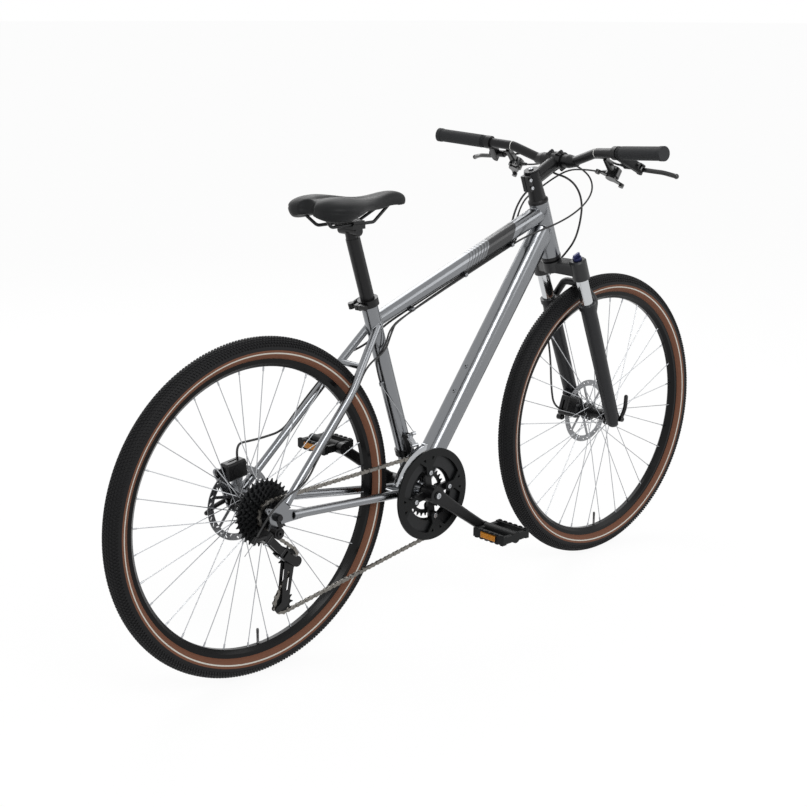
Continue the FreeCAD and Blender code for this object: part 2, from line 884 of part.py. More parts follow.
def hub(axle, flanges, disc_face, right_end, lines):
    """Hub shell with two spoke flanges and a seat for the rotor."""
    high, low = flanges
    t = flange_thickness / 2
    core = hub_core_radius
    profile = [
        (axle_bore, right_end), (core - 2, right_end), (core - 2, low - t - 1.5), (flange_radius, low - t),
        (flange_radius, low + t), (core, low + t + 4), (core - 1, 0), (core, high - t - 4),
        (flange_radius, high - t), (flange_radius, high + t), (core + 4, high + t + 1), (core + 4, disc_face),
        (axle_bore, disc_face),
    ]
    body = revolved(axle, line_profile(profile))
    return [body.cut(spoke_holes(lines, flanges))]


rotor_bolts = 6
rotor_bolt_circle = 16.0
rotor_slots = 30


def rotor(axle, plane):
    """Slotted brake disc on a six-arm carrier, with its bolts."""
    low = plane - rotor_thickness / 2
    high = plane + rotor_thickness / 2
    track_inner = rotor_radius - rotor_track
    pieces = [ring(axle, rotor_radius, track_inner, low, high), disc(axle, 22.0, low, high)]
    for k in range(rotor_bolts):
        angle = 360.0 * k / rotor_bolts
        root = axle + turned(angle) * 18
        tip = axle + turned(angle + 38) * (track_inner + 2)
        pieces.append(slab(root, (tip - root).normalize(), 3.2, (tip - root).Length, low, high))
    body = joined(pieces)
    cuts = [disc(axle, 12.0, low - 1, high + 1)]
    for k in range(rotor_slots):
        angle = 360.0 * k / rotor_slots
        depth = rotor_radius - (4.5 if k % 3 else 10.5)
        start = axle + turned(angle) * (depth - 3)
        way = turned(angle + (55 if k % 3 else -40))
        cuts.append(slab(start, way, 1.3, 5.0, low - 1, high + 1))
    bolts = []
    for k in range(rotor_bolts):
        seat = axle + turned(360.0 * k / rotor_bolts + 30) * rotor_bolt_circle
        cuts.append(disc(seat, 2.6, low - 1, high + 1))
        bolts.append(joined([disc(seat, 2.5, low, high + 1), disc(seat, 4.2, high, high + 2.6)]))
    return [body.cut(cuts)] + bolts


# Axles and their quick releases

cam_radius = 8.5
lever_thickness = 5.0


def axle_set(axle, spacing, wall, nut_side):
    """Hollow axle with locknuts, and a skewer with a nut on one side and a cam
    housing on the other."""
    half = spacing / 2
    ends = [disc(axle, axle_radius, -half - wall + 0.6, half + wall - 0.6)]
    for side in sides:
        ends.append(disc(axle, axle_radius + 3.5, side * half, side * (half - 3.5)))
    body = joined(ends).cut(disc(axle, skewer_radius + 0.2, -half - 20, half + 20))
    outer = half + wall
    shank = disc(axle, skewer_radius, -outer - 9, outer + 9)
    nut = joined([
        disc(axle, cam_radius, nut_side * outer, nut_side * (outer + 7)),
        disc(axle, cam_radius - 2, nut_side * outer, nut_side * (outer + 11)),
    ])
    housing_face = -nut_side * outer
    housing = disc(axle, cam_radius, housing_face, housing_face - nut_side * 7)
    skewer = joined([shank, nut, housing])
    return [body, skewer]


cam_barrel_radius = 6.5
cam_barrel_length = 13.0


def cam_lever(seat, outward, way, length):
    """Curved quick-release lever. Its cross barrel turns on the skewer's end."""
    hinge = way.cross(outward)
    centre = seat + outward * cam_barrel_radius
    half_barrel = hinge * (cam_barrel_length / 2)
    barrel = rod(centre - half_barrel, centre + half_barrel, cam_barrel_radius)
    bow = outward * 7.0
    points = [centre, centre + way * (length * 0.5) + bow, centre + way * length + bow * 0.4]
    blade = bent_rod(points, lever_thickness, 60.0)
    tip = Part.makeSphere(lever_thickness, points[-1])
    return [joined([barrel, blade, tip])]


skewer_reach = 9.0 + running_gap
front_lever_angle = 75.0
rear_lever_angle = 200.0


def front_quick_release():
    pivot = front_axle - across * (front_spacing / 2 + fork_dropout_thickness + skewer_reach)
    return cam_lever(pivot, across * -1, turned(front_lever_angle), 58.0)


def rear_quick_release():
    pivot = rear_axle + across * (dropout_outer + skewer_reach)
    return cam_lever(pivot, across, turned(rear_lever_angle), 58.0)


def seat_quick_release():
    pivot = on_seat(collar_top - collar_height / 2, -collar_radius - 5, collar_bolt_end + running_gap)
    return cam_lever(pivot, across, seat_forward, 52.0)


# Fork

leg_y = fork_leg_spacing / 2
crown_top = crown_height - running_gap
crown_clamp_bottom = crown_height - 8 - crown_clamp_height
stem_bottom = head_top + headset_upper_stack + running_gap + spacer_length
stem_top = stem_bottom + stem_clamp_length
crown_clamp_radius = stanchion_diameter / 2 + 5.5
stanchion_bottom = crown_top - 10 - stanchion_length


def on_leg(distance, side, forward=0.0, y=0.0):
    """Point along a fork leg's axis, on the left or the right."""
    return on_steer(distance, leg_offset + forward, side * leg_y + y)


def crown_section(y, half_depth, low, high, forward):
    """Upright section of the crown's bridge at one distance from the middle."""
    middle = on_steer((low + high) / 2, forward, y)
    return rounded_section(middle, steer_forward, steer_line, 2 * half_depth, high - low, 7.0)


def fork_crown():
    """Forged crown: a boss round the steerer that arches out and down to a
    clamp on each leg."""
    boss = rod(on_steer(crown_top - 26), on_steer(crown_top), 23.0)
    solids = [boss]
    for side in sides:
        sections = [
            crown_section(0, 21.0, crown_top - 27, crown_top - 1, 0),
            crown_section(side * leg_y * 0.55, 18.0, crown_top - 36, crown_top - 5, leg_offset * 0.5),
            crown_section(side * leg_y, 15.0, crown_clamp_bottom + 6, crown_top - 12, leg_offset),
        ]
        solids.append(loft(sections))
        solids.append(rod(on_leg(crown_clamp_bottom, side), on_leg(crown_top - 8, side), crown_clamp_radius))
        shoulder = on_leg(crown_top - 8, side)
        solids.append(cone(shoulder, on_leg(crown_top - 4, side), crown_clamp_radius, 17.0))
    crown = joined(solids)
    for side in sides:
        crown = crown.cut(rod(on_leg(0, side), on_leg(crown_top - 10, side), stanchion_diameter / 2))
    return crown


def steerer():
    tube = rod(on_steer(crown_top - 26), on_steer(stem_top - 2), steerer_diameter / 2)
    return tube.cut(rod(on_steer(crown_top - 20), on_steer(stem_top + 2), steerer_diameter / 2 - 2.5))


def fork_uppers():
    """Crown with its pressed steerer, and the two stanchions."""
    tube = steerer()
    crown = fork_crown().cut(rod(on_steer(crown_top - 26), on_steer(crown_top + 1), steerer_diameter / 2))
    solids = [crown, tube]
    for side in sides:
        low_end = on_leg(stanchion_bottom, side)
        high_end = on_leg(crown_top - 10, side)
        wall = pipe(low_end, high_end, stanchion_diameter / 2, stanchion_diameter / 2 - 2)
        solids.append(wall)
    return solids


knob_seat = crown_top - 4 + running_gap
knob_radius = 11.0


def lockout_knob():
    """Turning knob with a finger bar, on top of the right leg."""
    base = on_leg(knob_seat, right)
    body = rod(base, base + steer_line * 7, knob_radius)
    bar = rounded_section(base + steer_line * 6, steer_forward, across, 2 * knob_radius - 1, 6.0, 2.0)
    grip = Part.Face(bar).extrude(steer_line * 9)
    return [joined([body, grip])]


bore_spare = 4.0
front_caliper_angle = 160.0
wiper_height = 7.0
arch_rise = 34.0
arch_radius = 9.0
foot_low = -16.0


def lower_leg(side):
    """Tapered sliding leg with a wiper collar and a dropout at its foot."""
    top = lower_leg_top
    body = joined([
        cone(
            on_leg(top - 60, side),
            on_leg(foot_low + 18, side),
            lower_leg_diameter / 2 - 1.5,
            lower_leg_foot_diameter / 2,
        ),
        rod(on_leg(top - 60, side), on_leg(top - 10, side), lower_leg_diameter / 2 - 1.5),
        rod(on_leg(top - 12, side), on_leg(top, side), lower_leg_diameter / 2 + 1.0),
        Part.makeSphere(lower_leg_foot_diameter / 2, on_leg(foot_low + 18, side)),
    ])
    inner = side * front_spacing / 2
    outer = side * (front_spacing / 2 + fork_dropout_thickness)
    root = on_leg(46, side)
    root.y = 0
    tab = joined([
        disc(front_axle, 15.0, inner, outer),
        tapered_slab(front_axle, root, 15.0, 13.0, *sorted((inner, outer))),
    ])
    return body, tab


def fork_arch():
    """Brace over the tyre, joining the tops of the two lower legs."""
    top = lower_leg_top
    points = [
        on_leg(top - 34, left, 12),
        on_leg(top - 4, left, 28),
        on_leg(top + arch_rise, left, 33, -33),
        on_leg(top + arch_rise, right, 33, 33),
        on_leg(top - 4, right, 28),
        on_leg(top - 34, right, 12),
    ]
    return bent_rod(points, arch_radius, 24.0)


def caliper_lugs():
    """Brake mount on the back of the left lower leg."""
    lugs = []
    face = front_spacing / 2 + 4.0
    for foot in caliper_feet(front_axle, front_caliper_angle):
        along = (foot - steer_foot).dot(steer_line)
        root = on_leg(along, left)
        root.y = 0
        reach = root - foot
        lugs.append(disc(foot, caliper_foot_radius, face, face + dropout_thickness))
        length = (root - foot).Length - 4
        half = caliper_foot_radius - 1.5
        lugs.append(slab(foot, reach.normalize(), half, length, face, face + dropout_thickness))
    return lugs, face


def fork_lowers():
    """One casting: both sliding legs, the arch, the dropouts and the brake mount."""
    pieces = []
    for side in sides:
        pieces.extend(lower_leg(side))
    lugs, _ = caliper_lugs()
    body = joined(pieces + [fork_arch()] + lugs)
    bottom = stanchion_bottom - fork_travel - bore_spare
    cuts = []
    for side in sides:
        bore_radius = stanchion_diameter / 2 + running_gap
        cuts.append(rod(on_leg(bottom, side), on_leg(lower_leg_top + 60, side), bore_radius))
        low, high = sorted((side * front_spacing / 2, side * (front_spacing / 2 + fork_dropout_thickness)))
        slot_width = axle_radius + 0.1
        cuts.append(slab(front_axle, turned(-90), slot_width, 40, low - 1, high + 1))
        cuts.append(disc(front_axle, fork_foot_relief, high, high + 30))
        cuts.append(disc(front_axle, fork_foot_relief, low - 30, low))
    for foot in caliper_feet(front_axle, front_caliper_angle):
        cuts.append(disc(foot, caliper_bolt_radius + 0.1, 30, 80))
    return [largest(body.cut(cuts))]


def front_caliper():
    _, face = caliper_lugs()
    return caliper(front_axle, front_caliper_angle, front_rotor_plane, face)


# Cockpit

stem_angle = 26.0
bar_centre = on_steer((stem_bottom + stem_top) / 2) + turned(stem_angle) * stem_reach
stem_wall = 4.0
faceplate_gap = 2.0


def stem():
    """Clamp on the steerer, an extension, and a bar clamp with a separate
    faceplate, the conical spacer and the top cap."""
    outer = steerer_diameter / 2 + stem_wall
    clamp = rod(on_steer(stem_bottom), on_steer(stem_top), outer)
    back = steer_forward * -1
    corner = on_steer(stem_bottom + 2, -outer + 4, -11.0)
    ears = turned_box(corner, back, across, steer_line, (13.0, 22.0, stem_clamp_length - 4))
    middle = on_steer((stem_bottom + stem_top) / 2)
    extension = rod(middle, bar_centre, 16.0)
    bar_outer = bar_clamp_diameter / 2 + stem_wall
    half = 22.0
    grip = rod(bar_centre - across * half, bar_centre + across * half, bar_outer)
    way = turned(stem_angle)
    up = turned(stem_angle + 90)
    lugs = []
    for y in (-14, 14):
        for v in (-1, 1):
            seat = bar_centre + across * y + up * (v * (bar_outer - 1)) - way * 9
            lugs.append(rod(seat, seat + way * 18, 5.0))
    body = joined([clamp, ears, extension, grip] + lugs)
    body = body.cut(rod(on_steer(stem_bottom - 30), on_steer(stem_top + 30), steerer_diameter / 2))
    body = body.cut(rod(bar_centre - across * 60, bar_centre + across * 60, bar_clamp_diameter / 2))
    corner = on_steer(stem_bottom - 10, -12, -1.0)
    body = body.cut(turned_box(corner, back, across, steer_line, (40.0, 2.0, stem_clamp_length + 20)))
    corner = bar_centre - across * (2 * half) - up * 60 - way * (faceplate_gap / 2)
    body = body.cut(turned_box(corner, way, across, up, (faceplate_gap, 4 * half, 120.0)))
    pieces = list(body.Solids)
    for v in (0.27, 0.73):
        seat = on_steer(stem_bottom + stem_clamp_length * v, -outer - 5, 0)
        pieces.append(joined([
            rod(seat - across * 14, seat + across * 10, 2.5),
            rod(seat - across * 15, seat - across * 11.2, 4.2),
        ]))
    pieces[0] = pieces[0].cut(pieces[-1]).cut(pieces[-2])
    cap = rod(on_steer(stem_top + 0.2), on_steer(stem_top + 4), outer - 1)
    cap = joined([cap, rod(on_steer(stem_top + 3), on_steer(stem_top + 6), 6.0)])
    low = head_top + headset_upper_stack + running_gap
    spacer = cone(on_steer(low), on_steer(stem_bottom), head_tube_diameter / 2 - 3, outer)
    spacer = spacer.cut(rod(on_steer(low - 1), on_steer(stem_bottom + 1), steerer_diameter / 2))
    return pieces + [cap, spacer]


bar_rise = 26.0
bar_back = 13.0
bar_sweep = 9.0
bar_upsweep = 4.0
bar_bend_start = 52.0
bar_bend_end = 128.0


def bar_point(y):
    """Point on the bar's outer stretch, at one distance from the middle."""
    run = abs(y) - bar_bend_end
    back = bar_back + run * math.tan(math.radians(bar_sweep))
    up = bar_rise + run * math.tan(math.radians(bar_upsweep))
    return bar_centre + vec(-back, y, up)


bar_end = bar_half_width
grip_start = bar_half_width - grip_length


def bar_direction(side):
    return (bar_point(side * bar_end) - bar_point(side * bar_bend_end)).normalize()


def handlebar():
    """Riser bar, thick in the stem's clamp and bent up and back to the grips."""
    points = [bar_point(-bar_end), bar_point(-bar_bend_end)]
    points.append(bar_centre - across * bar_bend_start)
    points.append(bar_centre + across * bar_bend_start)
    points.extend([bar_point(bar_bend_end), bar_point(bar_end)])
    tube = bent_rod(points, bar_grip_diameter / 2, 70.0)
    middle = rod(bar_centre - across * 40, bar_centre + across * 40, bar_clamp_diameter / 2)
    solids = [tube, middle]
    for side in sides:
        start = bar_centre + across * (side * 40)
        end = start + across * (side * 22)
        solids.append(cone(start, end, bar_clamp_diameter / 2, bar_grip_diameter / 2 + 0.4))
    body = joined(solids)
    return [body.cut(bent_rod(points, bar_bore_radius, 70.0))]


grip_ring_length = 12.0


def grips():
    """Rubber sleeves with a ribbed inner end and a closed, wider outer end."""
    result = []
    for side in sides:
        way = bar_direction(side)
        end = bar_point(side * bar_end)
        start = end - way * grip_length
        outer = grip_diameter / 2
        pieces = [
            rod(start + way * grip_ring_length, end, outer - 1.0),
            rod(start, start + way * grip_ring_length, outer - 2.5),
            rod(end - way * 8, end + way * 2, outer),
        ]
        for k in range(4):
            at = start + way * (2.0 + 2.8 * k)
            pieces.append(rod(at, at + way * 1.4, outer - 1.4))
        body = joined(pieces)
        hollow = rod(start - way, end, bar_grip_diameter / 2)
        result.append(body.cut(hollow))
    return result


lever_drop = vec(56.0, 0, -38.0)
lever_out = 26.0
lever_pull = (vec(0, 0, 0) - lever_drop).normalize()
lever_hinge = lever_pull.cross(across)
lever_reach = 88.0
master_length = 44.0
nose_length = 12.0
master_back = 14.0
master_out = 8.0
lever_boss_radius = 7.0
lever_gap_half = 6.0


def lever_pivot(side):
    return bar_point(side * lever_clamp_offset) + lever_drop + across * (side * lever_out)


def master_start(side):
    """Outer end of the cylinder barrel, behind the lever's pivot."""
    return lever_pivot(side) + across * (side * master_out) + lever_pull * master_back


def brake_master_cylinders():
    """Bar clamp, cylinder barrel and pivot fork of each hydraulic lever."""
    result = []
    for side in sides:
        way = bar_direction(side)
        seat = bar_point(side * lever_clamp_offset)
        clamp = rod(seat - way * 7, seat + way * 7, bar_grip_diameter / 2 + 4.5)
        pivot = lever_pivot(side)
        arm_end = pivot + lever_pull * 3
        arm = loft([
            rounded_section(seat + lever_drop * 0.2, way, lever_hinge, 16.0, 20.0, 4.0),
            rounded_section(arm_end, way, lever_hinge, 18.0, 22.0, 4.0),
        ])
        inward = across * -side
        barrel_start = master_start(side)
        barrel_end = barrel_start + inward * master_length
        barrel = rod(barrel_start, barrel_end, 8.5)
        nose = cone(barrel_end, barrel_end + inward * nose_length, 6.0, 3.6)
        fork = rod(pivot - lever_hinge * 11, pivot + lever_hinge * 11, lever_boss_radius)
        body = joined([clamp, arm, barrel, nose, fork])
        body = body.cut(rod(seat - way * 60, seat + way * 60, bar_grip_diameter / 2))
        slot = rod(pivot - lever_hinge * lever_gap_half, pivot + lever_hinge * lever_gap_half, 19.0)
        body = largest(body.cut(slot))
        pin = rod(pivot - lever_hinge * 11.5, pivot + lever_hinge * 11.5, 2.5)
        result.append(body.cut(pin))
        result.append(pin)
    return result


def brake_lever(side):
    """Curved blade that turns on the pivot pin and ends in a round tip."""
    pivot = lever_pivot(side)
    half = lever_gap_half - running_gap
    boss = rod(pivot - lever_hinge * half, pivot + lever_hinge * half, lever_boss_radius)
    out = across * side
    forward = lever_pull * -1
    points = [
        pivot,
        pivot + out * (lever_reach * 0.36) + forward * 3,
        pivot + out * (lever_reach * 0.68) + forward * 5,
        pivot + out * lever_reach + forward * 17,
    ]
    wire, _, _ = bent_path(points, 60.0)
    way = (points[1] - points[0]).normalize()
    up = lever_hinge
    profile = rounded_section(points[0], way.cross(up), up, 8.0, 10.0, 3.0)
    blade = wire.makePipeShell([profile], True, False)
    tip = Part.makeSphere(6.0, points[-1])
    body = joined([boss, blade, tip])
    return [body.cut(rod(pivot - lever_hinge * 20, pivot + lever_hinge * 20, 2.5 + running_gap))]


shifter_axis = lever_hinge * -1


def shifter_centre(side):
    return bar_point(side * shifter_offset) + vec(41.0, 0, -47.0)


pod_radius = 17.0
pod_height = 20.0


def shifter_housings():
    """Round pod of each trigger shifter, hung from its own bar clamp."""
    result = []
    for side in sides:
        way = bar_direction(side)
        seat = bar_point(side * shifter_offset)
        centre = shifter_centre(side)
        clamp = rod(seat - way * 6, seat + way * 6, bar_grip_diameter / 2 + 3.5)
        half_pod = shifter_axis * (pod_height / 2)
        pod = rod(centre - half_pod, centre + half_pod, pod_radius)
        lid = rod(centre + half_pod, centre + half_pod + shifter_axis * 3, pod_radius - 5)
        neck = loft([
            rounded_section(seat + (centre - seat) * 0.25, way, lever_hinge, 11.0, 14.0, 3.0),
            rounded_section(seat + (centre - seat) * 0.8, way, lever_hinge, 18.0, 16.0, 4.0),
        ])
        inward = across * -side
        outlet = cone(centre + inward * (pod_radius - 3), centre + inward * (pod_radius + 16), 6.0, 3.4)
        body = joined([clamp, pod, lid, neck, outlet])
        body = body.cut(rod(seat - way * 60, seat + way * 60, bar_grip_diameter / 2))
        result.append(largest(body))
    return result


def shift_lever(side, level, heading, length):
    """Flat paddle under the pod. It turns on the pod's own axis."""
    centre = shifter_centre(side) - shifter_axis * (pod_height / 2 + running_gap + level)
    turn = FreeCAD.Rotation(shifter_axis, side * heading)
    way = turn.multVec(lever_pull)
    thickness = 3.0
    root = rod(centre, centre - shifter_axis * thickness, pod_radius - 4)
    cross = way.cross(shifter_axis)
    end = centre + way * length
    edge = []
    for point, half in ((centre, 8.0), (end, 6.0)):
        edge.append((point + cross * half, point - cross * half))
    outline = Part.Wire([
        Part.makeLine(edge[0][0], edge[1][0]),
        Part.Arc(edge[1][0], end + way * 6.0, edge[1][1]).toShape(),
        Part.makeLine(edge[1][1], edge[0][1]),
        Part.makeLine(edge[0][1], edge[0][0]),
    ])
    paddle = Part.Face(outline).extrude(shifter_axis * -thickness)
    thumb = rod(end, end - shifter_axis * 8.0, 6.0)
    return [joined([root, paddle, thumb])]


# Chain and sprockets

tooth_height = 3.0
tooth_tip_half = 0.85
seat_half_angle = 62.0
inner_plate_offset = 1.15
inner_plate_thickness = 0.8
outer_plate_offset = 2.1
outer_plate_thickness = 0.9
pin_radius = 1.8
pin_clearance = 0.22
plate_end_radius = 4.1
plate_waist = 3.0
guide_pulley = rear_axle + vec(pulley_ahead, 0, -pulley_drop)


def sprocket(centre, teeth, plane, thickness, bore, phase):
    """Toothed disc whose round seats hold the chain's rollers."""
    radius = pitch_radius(teeth)
    seat = roller_radius + seat_clearance
    tip = radius + tooth_height
    tip_angle = math.degrees(tooth_tip_half / tip)
    step = 360.0 / teeth
    middle = vec(centre.x, plane - thickness / 2, centre.z)
    edges = []
    for k in range(teeth):
        angle = phase + k * step
        roller = middle + turned(angle) * radius
        start = roller + turned(angle + 180 + seat_half_angle) * seat
        end = roller + turned(angle + 180 - seat_half_angle) * seat
        rise = middle + turned(angle + step / 2 - tip_angle) * tip
        fall = middle + turned(angle + step / 2 + tip_angle) * tip
        next_roller = middle + turned(angle + step) * radius
        next_start = next_roller + turned(angle + step + 180 + seat_half_angle) * seat
        edges.append(Part.Arc(start, roller + turned(angle + 180) * seat, end).toShape())
        edges.append(Part.makeLine(end, rise))
        edges.append(Part.makeLine(rise, fall))
        edges.append(Part.makeLine(fall, next_start))
    body = Part.Face(Part.Wire(edges)).extrude(across * thickness)
    return body.cut(disc(centre, bore, plane - thickness, plane + thickness))


class ChainLoop:
    """Path of the chain round the big ring, the tension pulley, the guide
    pulley and the cog in use. One unit of the path is one pitch."""

    def __init__(self, cage_angle):
        self.tension_pulley = guide_pulley + turned(cage_angle) * cage_length
        cog = cog_teeth[cog_in_use]
        self.wheels = [
            (shell_centre, ring_teeth[0], -1),
            (self.tension_pulley, pulley_teeth, -1),
            (guide_pulley, pulley_teeth, 1),
            (rear_axle, cog, -1),
        ]
        self.measure()

    def measure(self):
        count = len(self.wheels)
        headings = []
        runs = []
        for k in range(count):
            c1, n1, s1 = self.wheels[k]
            c2, n2, s2 = self.wheels[(k + 1) % count]
            gap = c2 - c1
            offset = s2 * pitch_radius(n2) - s1 * pitch_radius(n1)
            lean = math.degrees(math.asin(offset / gap.Length))
            headings.append(math.degrees(math.atan2(gap.z, gap.x)) - lean)
            runs.append(math.sqrt(gap.Length ** 2 - offset ** 2))
        self.pieces = []
        at = 0.0
        for k in range(count):
            centre, teeth, sense = self.wheels[k]
            into = headings[k - 1]
            out = headings[k]
            turn = (sense * (out - into)) % 360.0
            start_angle = into - sense * 90.0
            wrapped = turn * teeth / 360.0
            self.pieces.append(("wheel", at, wrapped, k, start_angle))
            at += wrapped
            leave = vec(centre.x, 0, centre.z) + turned(out - sense * 90.0) * pitch_radius(teeth)
            self.pieces.append(("run", at, runs[k] / chain_pitch, leave, out))
            at += runs[k] / chain_pitch
        self.total = at

    def roller(self, place):
        """Centre of the roller at one place along the path."""
        for kind, start, span, first, angle in self.pieces:
            if place < start + span or (kind, start) == (self.pieces[-1][0], self.pieces[-1][1]):
                if kind == "run":
                    return first + turned(angle) * ((place - start) * chain_pitch)
                centre, teeth, sense = self.wheels[first]
                swing = angle + sense * (place - start) * 360.0 / teeth
                return vec(centre.x, 0, centre.z) + turned(swing) * pitch_radius(teeth)

    def phase(self, wheel):
        """Angle of one tooth gap that holds a roller on a wheel."""
        for kind, start, span, first, angle in self.pieces:
            if kind == "wheel" and first == wheel:
                centre, teeth, sense = self.wheels[wheel]
                return angle + sense * (math.ceil(start) - start) * 360.0 / teeth


cage_angle_guess = -95.0
cage_search = 16.0


def closed_chain():
    """The cage angle near the guess at which the chain has whole link pairs."""
    low = cage_angle_guess - cage_search
    high = cage_angle_guess + cage_search
    target = 2 * round(ChainLoop(cage_angle_guess).total / 2)
    rising = ChainLoop(high).total > ChainLoop(low).total
    for _ in range(60):
        middle = (low + high) / 2
        if (ChainLoop(middle).total < target) == rising:
            low = middle
        else:
            high = middle
    return ChainLoop((low + high) / 2), target


chain_loop, link_count = closed_chain()
tension_pulley = chain_loop.tension_pulley


def link_plate(offset, thickness):
    """Waisted plate between two roller centres, on the given side."""
    edges = []
    ends = (vec(0, 0, 0), vec(chain_pitch, 0, 0))
    middle = chain_pitch / 2
    reach = 0.5 * plate_end_radius
    rise = math.sqrt(plate_end_radius ** 2 - reach ** 2)
    low_a = vec(reach, 0, -rise)
    low_b = vec(chain_pitch - reach, 0, -rise)
    high_a = vec(reach, 0, rise)
    high_b = vec(chain_pitch - reach, 0, rise)
    edges.append(Part.Arc(high_a, ends[0] - vec(plate_end_radius, 0, 0), low_a).toShape())
    edges.append(Part.Arc(low_a, vec(middle, 0, -plate_waist), low_b).toShape())
    edges.append(Part.Arc(low_b, ends[1] + vec(plate_end_radius, 0, 0), high_b).toShape())
    edges.append(Part.Arc(high_b, vec(middle, 0, plate_waist), high_a).toShape())
    face = Part.Face(Part.Wire(edges))
    face.translate(across * offset)
    return face.extrude(across * thickness)


def inner_link():
    reach = inner_plate_offset + inner_plate_thickness
    pieces = [
        link_plate(inner_plate_offset, inner_plate_thickness),
        link_plate(-reach, inner_plate_thickness),
    ]
    holes = []
    for x in (0, chain_pitch):
        pieces.append(disc(vec(x, 0, 0), roller_radius, -inner_plate_offset, inner_plate_offset))
        holes.append(disc(vec(x, 0, 0), pin_radius + pin_clearance, -9, 9))
    return joined(pieces).cut(holes)


def outer_link():
    reach = outer_plate_offset + outer_plate_thickness
    pieces = [
        link_plate(outer_plate_offset, outer_plate_thickness),
        link_plate(-reach, outer_plate_thickness),
    ]
    for x in (0, chain_pitch):
        pieces.append(disc(vec(x, 0, 0), pin_radius, -reach, reach))
    return joined(pieces)


def chain():
    """Roller chain: inner and outer links in turn, each a solid of its own."""
    kinds = (outer_link(), inner_link())
    rollers = [chain_loop.roller(k) for k in range(link_count)]
    links = []
    for k in range(link_count):
        here = rollers[k]
        there = rollers[(k + 1) % link_count]
        way = (there - here).normalize()
        start = (here + there) * 0.5 - way * (chain_pitch / 2)
        heading = math.degrees(math.atan2(way.z, way.x))
        links.append(moved(kinds[k % 2], start + across * chain_plane, heading))
    print("chain links", link_count, "path", round(chain_loop.total, 6))
    return links


freehub_radius = 16.0
spacer_wall = 2.2


def cog_plane(k):
    return chain_plane + (k - cog_in_use) * cog_spacing


def cassette():
    """Nine cogs and their spacers on the freehub, held by a lockring."""
    solids = []
    count = len(cog_teeth)
    inner_end = cog_plane(count - 1) + cog_thickness / 2 + 0.8
    outer_end = cog_plane(0) - cog_thickness / 2
    freehub = ring(rear_axle, freehub_radius, axle_bore, outer_end, inner_end)
    for k, teeth in enumerate(cog_teeth):
        phase = 0.0
        if k == cog_in_use:
            phase = chain_loop.phase(3)
        cog = sprocket(rear_axle, teeth, cog_plane(k), cog_thickness, freehub_radius + 0.05, phase)
        window_outer = pitch_radius(teeth) - 13
        if window_outer > freehub_radius + 14:
            spread = (freehub_radius + 6 + window_outer) / 2
            width = (window_outer - freehub_radius - 6) / 2
            cuts = []
            for j in range(5):
                place = rear_axle + turned(phase + 72 * j + 9 * k) * spread
                cuts.append(disc(place, width, cog_plane(k) - 2, cog_plane(k) + 2))
            cog = cog.cut(cuts)
        solids.append(cog)
    for k in range(count - 1):
        low = cog_plane(k) + cog_thickness / 2
        high = cog_plane(k + 1) - cog_thickness / 2
        solids.append(ring(rear_axle, freehub_radius + spacer_wall, freehub_radius + 0.05, low, high))
    solids.append(freehub)
    solids.append(ring(rear_axle, freehub_radius + 1.5, axle_bore + 5, outer_end - 1.6, outer_end))
    return solids


# Cranks

arm_direction = turned(crank_angle)
spider_arms = 4
ring_bolt_circle = 52.0
inner_bolt_circle = 32.0
ring_bolt_radius = 4.0
spider_outer = chain_plane + ring_thickness / 2
spider_inner = chain_plane + ring_spacing - ring_thickness / 2
guard_inner = chain_plane - 4.7
guard_thickness = 3.6
arm_inner = guard_inner - guard_thickness - 0.8
pedal_face = -94.0
arm_thickness = 15.0


def ring_plane(k):
    return chain_plane + k * ring_spacing


def bolt_place(k, circle):
    return shell_centre + turned(crank_angle + 45 + 360.0 * k / spider_arms) * circle


def chainrings():
    """Three rings with inward tabs, the spacers of the small one, and bolts."""
    bores = (62.0, 58.0, 40.0)
    circles = (ring_bolt_circle, ring_bolt_circle, inner_bolt_circle)
    solids = []
    for k, teeth in enumerate(ring_teeth):
        phase = chain_loop.phase(0) if k == 0 else 0.0
        plane = ring_plane(k)
        low = plane - ring_thickness / 2
        high = plane + ring_thickness / 2
        body = sprocket(shell_centre, teeth, plane, ring_thickness, bores[k], phase)
        tabs = []
        for j in range(spider_arms):
            place = bolt_place(j, circles[k])
            out = (place - shell_centre).normalize()
            tabs.append(slab(place, out, 8.0, bores[k] + 3 - circles[k], low, high))
        body = joined([body] + tabs)
        for j in range(spider_arms):
            body = body.cut(disc(bolt_place(j, circles[k]), ring_bolt_radius, low - 1, high + 1))
        solids.append(body)
    for j in range(spider_arms):
        outer_place = bolt_place(j, ring_bolt_circle)
        end = ring_plane(1) + ring_thickness / 2
        shank = disc(outer_place, ring_bolt_radius, guard_inner - guard_thickness, end)
        head = disc(outer_place, ring_bolt_radius + 2, end, end + 1.5)
        cap_face = guard_inner - guard_thickness
        cap = disc(outer_place, ring_bolt_radius + 2, cap_face, cap_face - 0.5)
        solids.append(joined([shank, head, cap]))
        inner_place = bolt_place(j, inner_bolt_circle)
        low = ring_plane(2) - ring_thickness / 2
        spacer = disc(inner_place, ring_bolt_radius + 2, spider_inner, low)
        bolt = disc(inner_place, ring_bolt_radius, low, ring_plane(2) + ring_thickness / 2)
        solids.append(joined([spacer, bolt]))
    return solids


